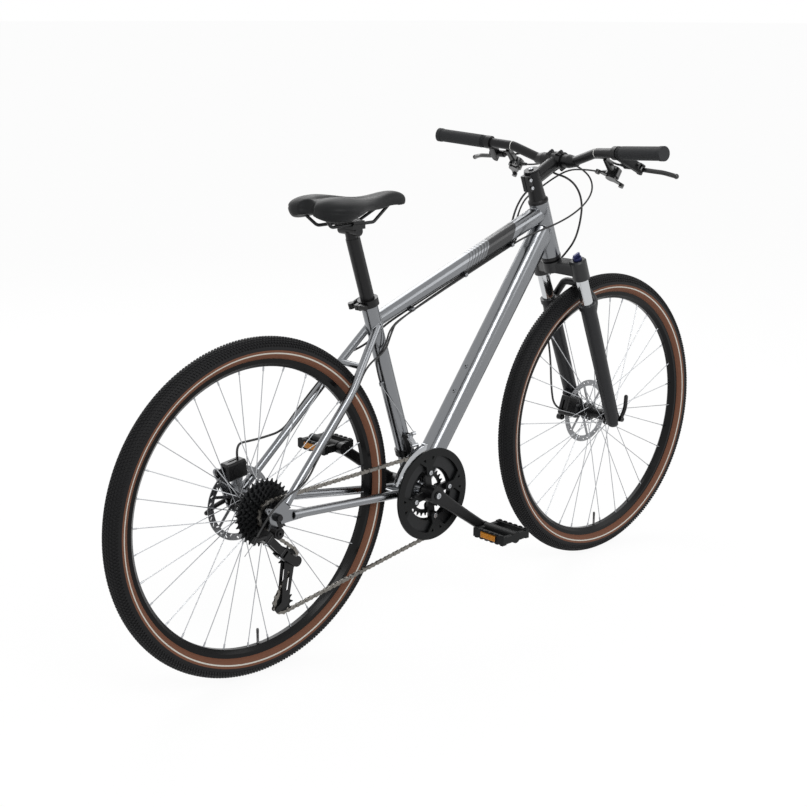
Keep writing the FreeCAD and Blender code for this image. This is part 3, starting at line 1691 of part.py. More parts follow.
def chain_guard():
    """Ring outside the big chainring on four lobes, with windows between."""
    low = guard_inner - guard_thickness
    high = guard_inner
    solids = [ring(shell_centre, guard_radius, guard_radius - 17, low, high)]
    rim = ring(shell_centre, guard_radius, guard_radius - 4, low, high + 1.2)
    solids.append(rim)
    for j in range(spider_arms):
        place = bolt_place(j, ring_bolt_circle)
        out = (place - shell_centre).normalize()
        root = vec(place.x, 0, place.z)
        solids.append(slab(root, out, 10.0, guard_radius - 10 - ring_bolt_circle, low, high))
        solids.append(disc(place, ring_bolt_radius + 3, low, chain_plane - ring_thickness / 2))
        for way in (-1, 1):
            foot = shell_centre + turned(crank_angle + 45 + 90 * j + way * 17) * (guard_radius - 10)
            knee = place + out * 12
            solids.append(slab(knee, (foot - knee).normalize(), 4.0, (foot - knee).Length, low, high))
    body = joined(solids)
    for j in range(spider_arms):
        body = body.cut(disc(bolt_place(j, ring_bolt_circle), ring_bolt_radius, low - 1, chain_plane + 5))
    return [body]


def arm_section(distance, middle_y, width, thickness, way):
    """Rounded section across a crank arm."""
    centre = shell_centre + way * distance + across * middle_y
    side = vec(-way.z, 0, way.x)
    return rounded_section(centre, side, across, width, thickness, 4.5)


def crank_arm(side):
    """Forged arm from the spindle's boss to the pedal eye."""
    way = arm_direction * (1 if side == right else -1)
    root_y = side * (abs(arm_inner) + arm_thickness / 2)
    eye_y = side * (abs(pedal_face) - arm_thickness / 2)
    pieces = [loft([
        arm_section(4, root_y, 34.0, arm_thickness, way),
        arm_section(70, (root_y * 0.62 + eye_y * 0.38), 27.0, arm_thickness - 2, way),
        arm_section(crank_length - 6, eye_y, 24.0, arm_thickness - 2, way),
    ])]
    outer = side * (abs(arm_inner) + arm_thickness)
    boss_start = side * (shell_width / 2 + 5.0)
    pieces.append(disc(shell_centre, crank_boss_radius, boss_start, outer))
    eye = shell_centre + way * crank_length
    pieces.append(disc(eye, 13.5, side * (abs(pedal_face) - arm_thickness), side * abs(pedal_face)))
    return pieces, eye


taper_half = 5.6
spindle_half = 74.0


def crank_bores(side, eye):
    far = side * 120
    return [
        square_taper(side, 0.0),
        disc(eye, pedal_axle_radius, far, side * 60),
        disc(shell_centre, 10.0, side * spindle_half, far),
    ]


def square_taper(side, gap):
    """Square end of the spindle that the arm is pressed on."""
    half = taper_half + gap
    start = shell_width / 2 + 5.0
    box = Part.makeBox(2 * half, spindle_half - start, 2 * half)
    y = start if side == left else -spindle_half
    box.Placement = FreeCAD.Placement(shell_centre + vec(-half, y, -half), FreeCAD.Rotation())
    return box


def right_crank():
    """Drive-side arm with its four-armed spider."""
    pieces, eye = crank_arm(right)
    for j in range(spider_arms):
        place = bolt_place(j, ring_bolt_circle)
        out = (place - shell_centre).normalize()
        start = shell_centre + out * 12
        pieces.append(slab(start, out, 9.0, ring_bolt_circle - 12, spider_outer, spider_inner))
    body = joined(pieces)
    cuts = crank_bores(right, eye)
    for j in range(spider_arms):
        place = bolt_place(j, ring_bolt_circle)
        cuts.append(disc(place, ring_bolt_radius, spider_outer - 9, spider_inner + 9))
    return [largest(body.cut(cuts))]


def left_crank():
    pieces, eye = crank_arm(left)
    return [largest(joined(pieces).cut(crank_bores(left, eye)))]


def pedal_eye(side):
    return shell_centre + arm_direction * (crank_length * (1 if side == right else -1))


pedal_start = abs(pedal_face) + 4.0


def crank_spindle():
    """Spindle with its two square ends and bolts, and the two pedal axles."""
    plain = shell_width / 2 + 4.7
    pieces = [disc(shell_centre, spindle_radius, -plain, plain)]
    for side in sides:
        pieces.append(square_taper(side, 0.0))
        pieces.append(disc(shell_centre, spindle_radius, side * plain, side * (plain + 0.3)))
        pieces.append(disc(shell_centre, 9.5, side * spindle_half, side * (spindle_half + 6)))
    solids = [joined(pieces)]
    for side in sides:
        eye = pedal_eye(side)
        inner_end = side * (abs(pedal_face) - arm_thickness)
        outer_end = side * (pedal_start + pedal_width - 8)
        shank = disc(eye, pedal_axle_radius, inner_end, outer_end)
        collar_end = side * (pedal_start - running_gap)
        collar = disc(eye, pedal_axle_radius + 2.5, side * abs(pedal_face), collar_end)
        solids.append(joined([shank, collar]))
    return solids


def pedal(side):
    """Platform pedal: a barrel on the axle, and a cage with toothed edges that
    holds a reflector front and rear."""
    eye = pedal_eye(side)
    near = side * pedal_start
    far = side * (pedal_start + pedal_width)
    half_l = pedal_length / 2
    half_t = pedal_thickness / 2
    barrel = disc(eye, 13.0, near, far)
    low, high = sorted((near, far))
    pieces = [barrel]
    for x in (-1, 1):
        bar = Part.makeBox(10.0, high - low, pedal_thickness - 4)
        bar.translate(vec(eye.x + x * (half_l - 5) - 5, low, eye.z - half_t + 2))
        pieces.append(bar)
        for k in range(6):
            tooth_y = low + (k + 0.5) * (high - low) / 6
            tooth = Part.makeBox(4.0, 8.0, pedal_thickness)
            tooth.translate(vec(eye.x + x * (half_l - 2.5) - 2, tooth_y - 4, eye.z - half_t))
            pieces.append(tooth)
    for y in (low, high - 10):
        web = Part.makeBox(pedal_length - 4, 10.0, pedal_thickness - 8)
        web.translate(vec(eye.x - half_l + 2, y, eye.z - half_t + 4))
        pieces.append(web)
    body = joined(pieces)
    bore = disc(eye, pedal_axle_radius + running_gap, near - side, side * (pedal_start + pedal_width - 6))
    reflectors = []
    for x in (-1, 1):
        lens = Part.makeBox(3.0, 46.0, 13.0)
        lens.translate(vec(eye.x + x * (half_l + 0.9) - 1.5, (low + high) / 2 - 23, eye.z - 6.5))
        reflectors.append(lens.cut(body))
    return [body.cut(bore)] + [largest(lens) for lens in reflectors]


# Rear derailleur

link_foot = above_axles(-578, 0, -37)
link_head = above_axles(-545, 0, -73)
link_way = (link_head - link_foot).normalize()
link_axis = vec(-link_way.z, 0, link_way.x)
outer_link_y = -86.0
inner_link_y = -70.0
swing_half = 8.0
swing_radius = 4.5
swing_pin = 2.0
lug_thickness = 3.0
lug_near = swing_half + running_gap
lug_far = lug_near + lug_thickness


def swing_plane(point, along, up, y):
    """Point beside a pivot: along the links, along their pins, and across."""
    return vec(point.x, y, point.z) + link_way * along + link_axis * up


def swing_link(y):
    """Bar with an eye at each end, turning on pins that lie in its own plane."""
    pieces = []
    bores = []
    for pivot in (link_foot, link_head):
        low = swing_plane(pivot, 0, -swing_half, y)
        high = swing_plane(pivot, 0, swing_half, y)
        pieces.append(rod(low, high, swing_radius))
        bores.append(rod(low - link_axis, high + link_axis, swing_pin + running_gap))
    corner = swing_plane(link_foot, 0, -swing_half, y - 3.0)
    length = (link_head - link_foot).Length
    pieces.append(turned_box(corner, link_way, across, link_way.cross(across), (length, 6.0, 2 * swing_half)))
    return joined(pieces).cut(bores)


def rd_outer_link():
    return [swing_link(outer_link_y)]


def rd_inner_link():
    return [swing_link(inner_link_y)]


def pivot_pins(pivot):
    pins = []
    for y in (outer_link_y, inner_link_y):
        low = swing_plane(pivot, 0, -lug_far - 0.8, y)
        pins.append(rod(low, swing_plane(pivot, 0, lug_far + 0.8, y), swing_pin))
    return pins


def link_cheeks(pivot, way):
    """Two plates above and below the links' eyes, joined behind them."""
    width = inner_link_y - outer_link_y + 2 * swing_radius
    y = outer_link_y - swing_radius
    up = link_way.cross(across)
    cheeks = []
    start = -swing_radius if way > 0 else -swing_radius - 9
    for level in (-lug_far, lug_near):
        corner = swing_plane(pivot, start, level, y)
        cheeks.append(turned_box(corner, link_way, across, up, (2 * swing_radius + 9, width, lug_thickness)))
    web_start = swing_radius + 2.5 if way > 0 else -swing_radius - 9
    corner = swing_plane(pivot, web_start, -lug_far, y)
    cheeks.append(turned_box(corner, link_way, across, up, (6.5, width, 2 * lug_far)))
    return cheeks


knuckle_radius = 12.0
knuckle_outer = -92.0
barrel_top = above_axles(-611, -86, -25)
barrel_foot = above_axles(-620, -86, -36.5)


def rear_derailleur_knuckle():
    """Fixed knuckle on the hanger: its bolt, the links' pins and the cable's
    barrel adjuster on a rear arm."""
    face = -dropout_outer
    body = [disc(hanger_bolt, knuckle_radius, face, knuckle_outer)]
    body.extend(link_cheeks(link_foot, -1))
    arm_root = swing_plane(link_foot, -swing_radius - 6, 0, outer_link_y)
    body.append(rod(arm_root, (barrel_top + barrel_foot) * 0.5, 4.5))
    body.append(rod(barrel_foot, barrel_top, 5.0))
    solid = joined(body)
    pins = pivot_pins(link_foot)
    for pin in pins:
        solid = solid.cut(pin)
    bolt = joined([
        disc(hanger_bolt, hanger_bore_radius, -dropout_inner, knuckle_outer),
        disc(hanger_bolt, 7.0, knuckle_outer, knuckle_outer - 2.5),
    ])
    solid = solid.cut(disc(hanger_bolt, hanger_bore_radius, -dropout_inner, knuckle_outer))
    bolt = bolt.cut(disc(hanger_bolt, 3.0, knuckle_outer + 2, knuckle_outer - 9))
    return [largest(solid), bolt] + pins


cage_outer_face = chain_plane - 7.2
cage_plate = 1.6
cage_inner_face = chain_plane + 7.2
cage_spindle = 5.0
mover_radius = 11.5
mover_inner = cage_outer_face - running_gap
mover_outer = -84.0


def rd_mover():
    """Moving knuckle: the links' far pins and the housing of the cage's pivot."""
    body = [disc(guide_pulley, mover_radius, mover_inner, mover_outer)]
    body.extend(link_cheeks(link_head, 1))
    arm_half = 8.0
    start = swing_plane(link_head, swing_radius + 4 + arm_half, 0, 0)
    reach = guide_pulley - start
    length = reach.Length
    body.append(slab(start, reach.normalize(), arm_half, length, mover_outer, outer_link_y + 12))
    solid = joined(body)
    pins = pivot_pins(link_head)
    for pin in pins:
        solid = solid.cut(pin)
    solid = solid.cut(disc(guide_pulley, cage_spindle + running_gap, mover_inner + 1, mover_outer + 6))
    return [largest(solid)] + pins


pulley_bolt_radius = 2.5
pulley_hub_half = cage_inner_face - cage_plate - running_gap - chain_plane


def rd_cage():
    """Two plates either side of the pulleys, their bolts and the pivot spindle."""
    plates = []
    reach = tension_pulley - guide_pulley
    outer_plate = (cage_outer_face, cage_outer_face + cage_plate)
    inner_plate = (cage_inner_face - cage_plate, cage_inner_face)
    for near, far in (outer_plate, inner_plate):
        body = joined([
            tapered_slab(guide_pulley, tension_pulley, 13.0, 9.5, near, far),
            tapered_slab(tension_pulley, tension_pulley + turned(-150) * 21, 9.0, 6.0, near, far),
        ])
        window = guide_pulley + reach * 0.3
        body = body.cut(slab(window, reach * (1 / reach.Length), 3.6, reach.Length * 0.38, near - 1, far + 1))
        plates.append(body)
    bolts = []
    for place in (guide_pulley, tension_pulley):
        shank = disc(place, pulley_bolt_radius, cage_outer_face + 0.2, cage_inner_face)
        head = disc(place, pulley_bolt_radius + 2, cage_inner_face, cage_inner_face + 1.4)
        bolts.append(joined([shank, head]))
        plates = [largest(plate_body.cut(bolts[-1])) for plate_body in plates]
    spindle = disc(guide_pulley, cage_spindle, cage_outer_face, mover_outer + 8)
    plates[0] = joined([plates[0], spindle])
    return plates + bolts


def pulley(place, wheel):
    """Toothed jockey wheel with a raised hub."""
    bore = pulley_bolt_radius + running_gap
    body = sprocket(place, pulley_teeth, chain_plane, pulley_thickness, bore, chain_loop.phase(wheel))
    hub_ring = ring(place, 7.0, bore, chain_plane - pulley_hub_half, chain_plane + pulley_hub_half)
    return [joined([body, hub_ring])]


# Front derailleur

fd_pivot = above_axles(-140, -28, 81)
fd_cage_pivot = above_axles(-140, -46, 64)
fd_half = 6.0
fd_pin = 1.8
fd_eye = 4.0
fd_lug = 3.2
fd_band_distance = 100.0
fd_arm_length = 50.0
fd_band_radius = seat_tube_diameter / 2 + 3.5
lengthwise = vec(1, 0, 0)


def along_x(point, start, end, radius):
    return rod(point + lengthwise * start, point + lengthwise * end, radius)


def fd_lugs(pivot):
    reach = fd_half + running_gap
    return [along_x(pivot, way * reach, way * (reach + fd_lug), fd_eye) for way in sides]


def front_derailleur_clamp():
    """Band on the seat tube with two lugs that hold the link's pin."""
    low = on_seat(fd_band_distance - 7)
    high = on_seat(fd_band_distance + 7)
    body = [rod(low, high, fd_band_radius)]
    body.extend(fd_lugs(fd_pivot))
    arm_corner = on_seat(fd_band_distance - 7, -10.0, -fd_band_radius)
    body.append(turned_box(arm_corner, seat_forward, across, seat_line, (20.0, 4.0, fd_arm_length)))
    for way in sides:
        start = fd_pivot + lengthwise * (way * (fd_half + running_gap))
        side = lengthwise * (way * fd_lug)
        corner = start - vec(0, 0, fd_eye)
        if way == right:
            corner = corner + side
        body.append(turned_box(corner, lengthwise, across, vec(0, 0, 1), (fd_lug, -fd_pivot.y, 2 * fd_eye)))
    solid = joined(body).cut(rod(on_seat(0), on_seat(400), seat_tube_diameter / 2))
    slot = along_x(fd_pivot, -fd_half - running_gap, fd_half + running_gap, fd_eye + 1.0)
    pin = along_x(fd_pivot, -fd_half - fd_lug - 1, fd_half + fd_lug + 1, fd_pin)
    solid = largest(solid.cut(slot).cut(pin))
    return [solid, pin]


fd_anchor = fd_pivot + vec(0, -14.0, 9.0)


def fd_link():
    """Swing arm of the front derailleur, with the cable's anchor arm."""
    way = (fd_cage_pivot - fd_pivot).normalize()
    up = lengthwise.cross(way)
    pieces = []
    bores = []
    for pivot in (fd_pivot, fd_cage_pivot):
        pieces.append(along_x(pivot, -fd_half, fd_half, fd_eye))
        bores.append(along_x(pivot, -fd_half - 1, fd_half + 1, fd_pin + running_gap))
    corner = fd_pivot - lengthwise * fd_half - up * 2.5
    length = (fd_cage_pivot - fd_pivot).Length
    pieces.append(turned_box(corner, lengthwise, way, up, (2 * fd_half, length, 5.0)))
    pieces.append(rod(fd_pivot, fd_anchor, 3.0))
    pieces.append(along_x(fd_anchor, -5.0, 5.0, 4.0))
    return [joined(pieces).cut(bores)]


fd_inner_radius = 107.5
fd_outer_radius = 119.0
fd_start_angle = 100.0
fd_end_angle = 158.0
fd_outer_face = -58.9
fd_inner_face = -48.3
fd_plate = 1.2


def guide_plate(low, high):
    """Curved plate that follows the big chainring."""
    middle = (fd_start_angle + fd_end_angle) / 2
    tail = fd_end_angle + 1.5
    points = [
        shell_centre + turned(fd_start_angle) * fd_inner_radius,
        shell_centre + turned(middle) * fd_inner_radius,
        shell_centre + turned(tail) * (fd_inner_radius + 4),
        shell_centre + turned(tail) * (fd_outer_radius - 3),
        shell_centre + turned(middle) * fd_outer_radius,
        shell_centre + turned(fd_start_angle - 3) * fd_outer_radius,
    ]
    points = [vec(p.x, low, p.z) for p in points]
    edges = [
        Part.Arc(*points[0:3]).toShape(),
        Part.makeLine(points[2], points[3]),
        Part.Arc(*points[3:6]).toShape(),
        Part.makeLine(points[5], points[0]),
    ]
    return Part.Face(Part.Wire(edges)).extrude(across * (high - low))


def fd_cage():
    """Guide cage over the chain: two plates, two bridges and its pivot lugs."""
    pieces = [
        guide_plate(fd_outer_face, fd_outer_face + fd_plate),
        guide_plate(fd_inner_face - fd_plate, fd_inner_face),
    ]
    front_bridge = (fd_start_angle, fd_outer_radius, 3.0)
    rear_bridge = (fd_end_angle, fd_outer_radius - 6, 2.5)
    for angle, radius, half in (front_bridge, rear_bridge):
        pieces.append(disc(shell_centre + turned(angle) * radius, half, fd_outer_face, fd_inner_face))
    pieces.extend(fd_lugs(fd_cage_pivot))
    for way in sides:
        start = fd_half + running_gap
        x = fd_cage_pivot.x + (start if way == left else -start - fd_lug)
        low = fd_cage_pivot.z - 14
        box = Part.makeBox(fd_lug, 4.0, 15.0)
        box.translate(vec(x, fd_inner_face - fd_plate, low))
        pieces.append(box)
    pin = along_x(fd_cage_pivot, -fd_half - fd_lug - 1, fd_half + fd_lug + 1, fd_pin)
    return [largest(joined(pieces).cut(pin)), pin]


# Seatpost and saddle

post_bottom = 368.0
post_top = 612.0
rail_height = saddle_height - 56.0
post_head = vec(-284.0, 0, rail_height - 14)


def rail_points(side):
    y = side * rail_spacing / 2
    return [
        vec(-386.0, side * 34.0, saddle_height - 24.0),
        vec(-354.0, y, rail_height),
        vec(-238.0, y, rail_height + 1),
        vec(-172.0, side * 8.0, saddle_height - 17.0),
    ]


def rail(side):
    return bent_rod(rail_points(side), rail_radius, 16.0)


def saddle_rails():
    return [rail(side) for side in sides]


def seatpost():
    """Post with a cradle under the rails, a clamp plate over them and a bolt."""
    post = rod(on_seat(post_bottom), on_seat(post_top), seatpost_diameter / 2)
    bore = rod(on_seat(post_bottom - 1), on_seat(post_top - 20), seatpost_diameter / 2 - 2.5)
    neck = cone(on_seat(post_top - 30), post_head, seatpost_diameter / 2, 12.0)
    half = rail_spacing / 2 + 7
    cradle = Part.makeBox(34.0, 2 * half, 10.0)
    cradle.translate(vec(post_head.x - 17, -half, rail_height - 9.5))
    saddle_boss = rod(vec(post_head.x, -half, post_head.z), vec(post_head.x, half, post_head.z), 10.0)
    body = joined([post, neck, cradle, saddle_boss]).cut(bore)
    clamp = Part.makeBox(30.0, 2 * half, 6.5)
    clamp.translate(vec(post_head.x - 15, -half, rail_height + 1.2))
    for side in sides:
        body = body.cut(rail(side))
        clamp = clamp.cut(rail(side))
    bolt = joined([
        rod(vec(post_head.x, 0, rail_height - 8), vec(post_head.x, 0, rail_height + 7.7), 3.0),
        rod(vec(post_head.x, 0, rail_height + 7.7), vec(post_head.x, 0, rail_height + 11), 5.0),
    ])
    return [largest(body.cut(bolt)), largest(clamp.cut(bolt)), bolt]


saddle_stations = (
    (0.0, 46.0, -14.0, -31.0),
    (6.0, 62.0, -6.0, -35.0),
    (18.0, 76.0, 1.0, -39.0),
    (43.0, 86.0, 5.0, -41.0),
    (83.0, 79.0, 3.0, -36.0),
    (128.0, 55.0, -3.0, -30.0),
    (178.0, 35.0, -3.5, -30.0),
    (223.0, 25.0, 2.5, -26.0),
    (255.0, 18.5, -2.0, -28.0),
    (266.0, 12.0, -9.0, -27.0),
    (270.0, 6.0, -16.0, -25.0),
)
saddle_form = ((0.0, 0.0), (0.45, 0.03), (0.8, 0.14), (1.0, 0.42), (0.97, 0.72), (0.82, 1.0), (0.4, 0.86))


def saddle_section(along, half_width, top, bottom):
    """Closed curve with a crown, a widest line and sides drawn in below it."""
    x = saddle_rear + along
    drop = bottom - top
    share = half_width * 2 / saddle_width
    right_side = [(-u * half_width, top + v * drop) for u, v in saddle_form]
    left_side = [(u * half_width, top + v * drop) for u, v in saddle_form[:0:-1]]
    middle = [(0.0, top + drop * (0.84 - 0.1 * share))]
    points = [vec(x, y, saddle_height + z) for y, z in right_side + middle + left_side]
    curve = Part.BSplineCurve()
    curve.interpolate(points, PeriodicFlag=True)
    return Part.Wire(curve.toShape())


def saddle():
    """Padded seat: crowned, waisted to the nose, and parted at the rear."""
    body = loft([saddle_section(*station) for station in saddle_stations])
    cleft = vec(saddle_rear - 12.0, 0, saddle_height)
    body = body.cut(cone(cleft - vec(0, 0, 70), cleft + vec(0, 0, 20), 16.0, 34.0))
    for side in sides:
        body = body.cut(rail(side))
    return [largest(body)]


# Cables and hoses

wire_radius = 0.8
loop_end = 446.0
cord_gap = 0.2
hose_lead = 32.0
cord_lead = 16.0
stay_clear = seatstay_diameter / 2 + 3.0


def tube_run(row, end):
    """Straight stretch under the top tube, held by its guides."""
    y = cable_rows[row]
    return [top_tube_form.below(loop_end - cord_gap, cable_gap, y), top_tube_form.below(end, cable_gap, y)]


def beside_stay(side, share, part, offset):
    """Point along a seatstay's upper or lower stretch, set off from its axis."""
    top, bend, foot = seatstay_points(side)
    start, end = (top, bend) if part == "upper" else (bend, foot)
    return start + (end - start) * share + offset


def under_stay():
    top, bend, _ = seatstay_points(left)
    fall = bend - top
    return vec(-fall.z, 0, fall.x).normalize() * stay_clear


cable_stop = on_seat(284.0, -seat_tube_diameter / 2 - 5.0, -4.0)


def rear_stop():
    """Cable stop on the back of the seat tube."""
    body = rod(cable_stop, cable_stop - seat_line * 9, 4.0)
    foot = rod(cable_stop - seat_line * 4.5, cable_stop - seat_line * 4.5 + seat_forward * 8, 3.0)
    body = joined([body, foot]).cut(seat_tube_round())
    return body.cut(rod(cable_stop + seat_line, cable_stop - seat_line * 12, wire_radius + 0.3))


def front_shift_rear_part():
    points = tube_run("front shift", 72.0)
    points += [
        on_seat(396.0, 17.0, -27.0),
        on_seat(372.0, -5.0, -31.0),
        on_seat(346.0, -28.0, -16.0),
        on_seat(312.0, -26.0, -6.0),
        cable_stop + seat_line * cord_gap,
    ]
    housing = cord("front shift housing", points, housing_radius)
    start = cable_stop - seat_line * 9.2
    wire = rod(start, fd_anchor + vec(0, 0, 4.0 + 2 * cord_gap), wire_radius)
    return [housing, wire]


def rear_shift_rear_part():
    down = under_stay()
    barrel_way = (barrel_top - barrel_foot).normalize()
    points = tube_run("rear shift", 62.0)
    points += [
        on_seat(380.0, 20.0, -22.0),
        on_seat(356.0, -8.0, -28.0),
        beside_stay(right, 0.55, "upper", down),
        beside_stay(right, 0.95, "upper", down),
        beside_stay(right, 0.28, "lower", down),
        beside_stay(right, 0.55, "lower", down),
        above_axles(-474, -77, 57),
        above_axles(-523, -86, 48),
        above_axles(-570, -91, 29),
        barrel_top + barrel_way * 16,
        barrel_top + barrel_way * cord_gap,
    ]
    housing = cord("rear shift housing", points, housing_radius)
    tail = rod(barrel_foot - barrel_way * cord_gap, above_axles(-634, -76, -61), wire_radius)
    return [housing, tail]


def hose_entry(rotor_centre, angle, plane, shift):
    """Place on a caliper's outer face where its hose goes in."""
    place = rotor_centre + turned(angle) * (rotor_radius - 7 + 22 + cord_gap) + turned(angle - 90) * shift
    return place + across * plane


def rear_hose():
    side_gap = across * stay_clear
    bend_gap = across * (stay_clear + 4.5)
    entry = hose_entry(rear_axle, caliper_angle, rear_rotor_plane, 12.0)
    points = tube_run("rear brake", 58.0)
    points += [
        on_seat(382.0, 18.0, 17.0),
        on_seat(362.0, -8.0, 31.0),
        beside_stay(left, 0.55, "upper", side_gap),
        beside_stay(left, 0.95, "upper", bend_gap),
        beside_stay(left, 0.28, "lower", bend_gap),
        beside_stay(left, 0.46, "lower", side_gap),
        above_axles(-468, 71, 121),
        above_axles(-510, 62, 124),
        entry + turned(caliper_angle) * hose_lead,
        entry,
    ]
    return [cord("rear brake hose", points, hose_radius)]


def frame_cables():
    return front_shift_rear_part() + rear_shift_rear_part() + rear_hose()


def shifter_outlet(side):
    return shifter_centre(side) - across * (side * (pod_radius + 16 + cord_gap))


def hose_outlet(side):
    return master_start(side) - across * (side * (master_length + nose_length + cord_gap))


def led_in(outlet, side):
    """Straight start of a cord, square to the face that it comes out of."""
    return [outlet, outlet - across * (side * cord_lead)]


def loop_ending(row):
    """Straight end of a cord, in line with its run under the top tube."""
    y = cable_rows[row]
    lead = top_tube_form.below(loop_end + cord_lead, cable_gap, y)
    return [lead, top_tube_form.below(loop_end, cable_gap, y)]


def control_cable_loops():
    """The two shift housings and the rear hose, from the bar to the top tube."""
    front = led_in(shifter_outlet(left), left) + [
        above_axles(394, 62, 637),
        above_axles(421, 2, 639),
        above_axles(433, -40, 615),
        above_axles(424, -62, 585),
        above_axles(392, -71, 556),
        above_axles(345, -70, 531),
        above_axles(298, -60, 512),
        above_axles(254, -42, 497),
    ] + loop_ending("front shift")
    rear = led_in(shifter_outlet(right), right) + [
        above_axles(396, -62, 630),
        above_axles(402, -5, 626),
        above_axles(390, 32, 604),
        above_axles(366, 52, 581),
        above_axles(326, 58, 563),
        above_axles(290, 46, 542),
        above_axles(263, 34, 513),
        above_axles(246, 26, 487),
    ] + loop_ending("rear shift")
    hose = led_in(hose_outlet(right), right) + [
        above_axles(396, -118, 662),
        above_axles(406, -58, 656),
        above_axles(416, 0, 645),
        above_axles(408, 44, 621),
        above_axles(384, 66, 593),
        above_axles(338, 72, 573),
        above_axles(294, 58, 549),
        above_axles(262, 45, 517),
        above_axles(245, 35, 485),
    ] + loop_ending("rear brake")
    return [
        cord("front shift loop", front, housing_radius),
        cord("rear shift loop", rear, housing_radius),
        cord("rear brake loop", hose, hose_radius),
    ]


def front_brake_hose():
    """From the left lever under the stem, in front of the crown, then down the
    outside of the left leg to the caliper."""
    entry = hose_entry(front_axle, front_caliper_angle, front_rotor_plane, -12.0)
    points = led_in(hose_outlet(left), left) + [
        above_axles(394, 118, 660),
        above_axles(388, 66, 640),
        above_axles(366, 18, 618),
        above_axles(374, -22, 611),
        above_axles(396, -37, 587),
        above_axles(412, -40, 549),
        above_axles(413, -35, 504),
        above_axles(409, -24, 459),
        above_axles(408, 4, 424),
        above_axles(424, 46, 393),
        above_axles(430, 78, 355),
        on_leg(322, left, 6, 27),
        on_leg(240, left, -8, 25),
        on_leg(178, left, -34, 8),
        on_leg(125, left, -84, -21),
        entry + turned(front_caliper_angle) * hose_lead,
        entry,
    ]
    return [cord("front brake hose", points, hose_radius)]


# Nodes

front_lines = lacing(front_axle, *front_flanges)
rear_lines = lacing(rear_axle, *rear_flanges)
front_disc_face = front_rotor_plane - rotor_thickness / 2
rear_disc_face = rear_rotor_plane - rotor_thickness / 2
front_hub_end = -(front_spacing / 2 - 3.5 - running_gap)
rear_hub_end = cog_plane(len(cog_teeth) - 1) + cog_thickness / 2 + 0.8 + 2.0

export("main_frame", main_frame() + [rear_stop()])
export("rear_triangle", rear_triangle())
export("seat_clamp", seat_clamp())
export("bearing_cups", bearing_cups())
export("rear_caliper", rear_caliper())
export("frame_cables", frame_cables())
export("front_derailleur_clamp", front_derailleur_clamp())
export("rear_derailleur_knuckle", rear_derailleur_knuckle())
export("rear_axle", axle_set(rear_axle, rear_spacing, dropout_thickness, right))
export("chain", chain())
export("fork_uppers", fork_uppers())
export("lockout_knob", lockout_knob())
export("stem", stem())
export("handlebar", handlebar())
export("grips", grips())
export("brake_master_cylinders", brake_master_cylinders())
export("shifter_housings", shifter_housings())
export("control_cable_loops", control_cable_loops())
export("front_brake_hose", front_brake_hose())
export("fork_lowers", fork_lowers())
export("front_caliper", front_caliper())
export("front_axle", axle_set(front_axle, front_spacing, fork_dropout_thickness, left))
for name, axle, lines, flanges, disc_face, hub_end, plane in (
    ("front", front_axle, front_lines, front_flanges, front_disc_face, front_hub_end, front_rotor_plane),
    ("rear", rear_axle, rear_lines, rear_flanges, rear_disc_face, rear_hub_end, rear_rotor_plane),
):
    export(name + "_tyre", tyre(axle))
    export(name + "_rim", rim(axle, lines))
    export(name + "_spokes", spokes(axle, lines, flanges))
    export(name + "_hub", hub(axle, flanges, disc_face, hub_end, lines))
    export(name + "_rotor", rotor(axle, plane))
export("cassette", cassette())
export("chainrings", chainrings())
export("chain_guard", chain_guard())
export("right_crank", right_crank())
export("left_crank", left_crank())
export("crank_spindle", crank_spindle())
export("right_pedal", pedal(right))
export("left_pedal", pedal(left))
for name, side in (("left", left), ("right", right)):
    export(name + "_brake_lever", brake_lever(side))
    export(name + "_thumb_lever", shift_lever(side, 0.0, 40.0, 34.0))
    export(name + "_finger_lever", shift_lever(side, 3.6, -150.0, 30.0))
export("rd_outer_link", rd_outer_link())
export("rd_inner_link", rd_inner_link())
export("rd_mover", rd_mover())
export("rd_cage", rd_cage())
export("guide_pulley", pulley(guide_pulley, 2))
export("tension_pulley", pulley(tension_pulley, 1))
export("fd_link", fd_link())
export("fd_cage", fd_cage())
export("seatpost", seatpost())
export("saddle_rails", saddle_rails())
export("saddle", saddle())
export("seat_quick_release", seat_quick_release())
export("front_quick_release", front_quick_release())
export("rear_quick_release", rear_quick_release())
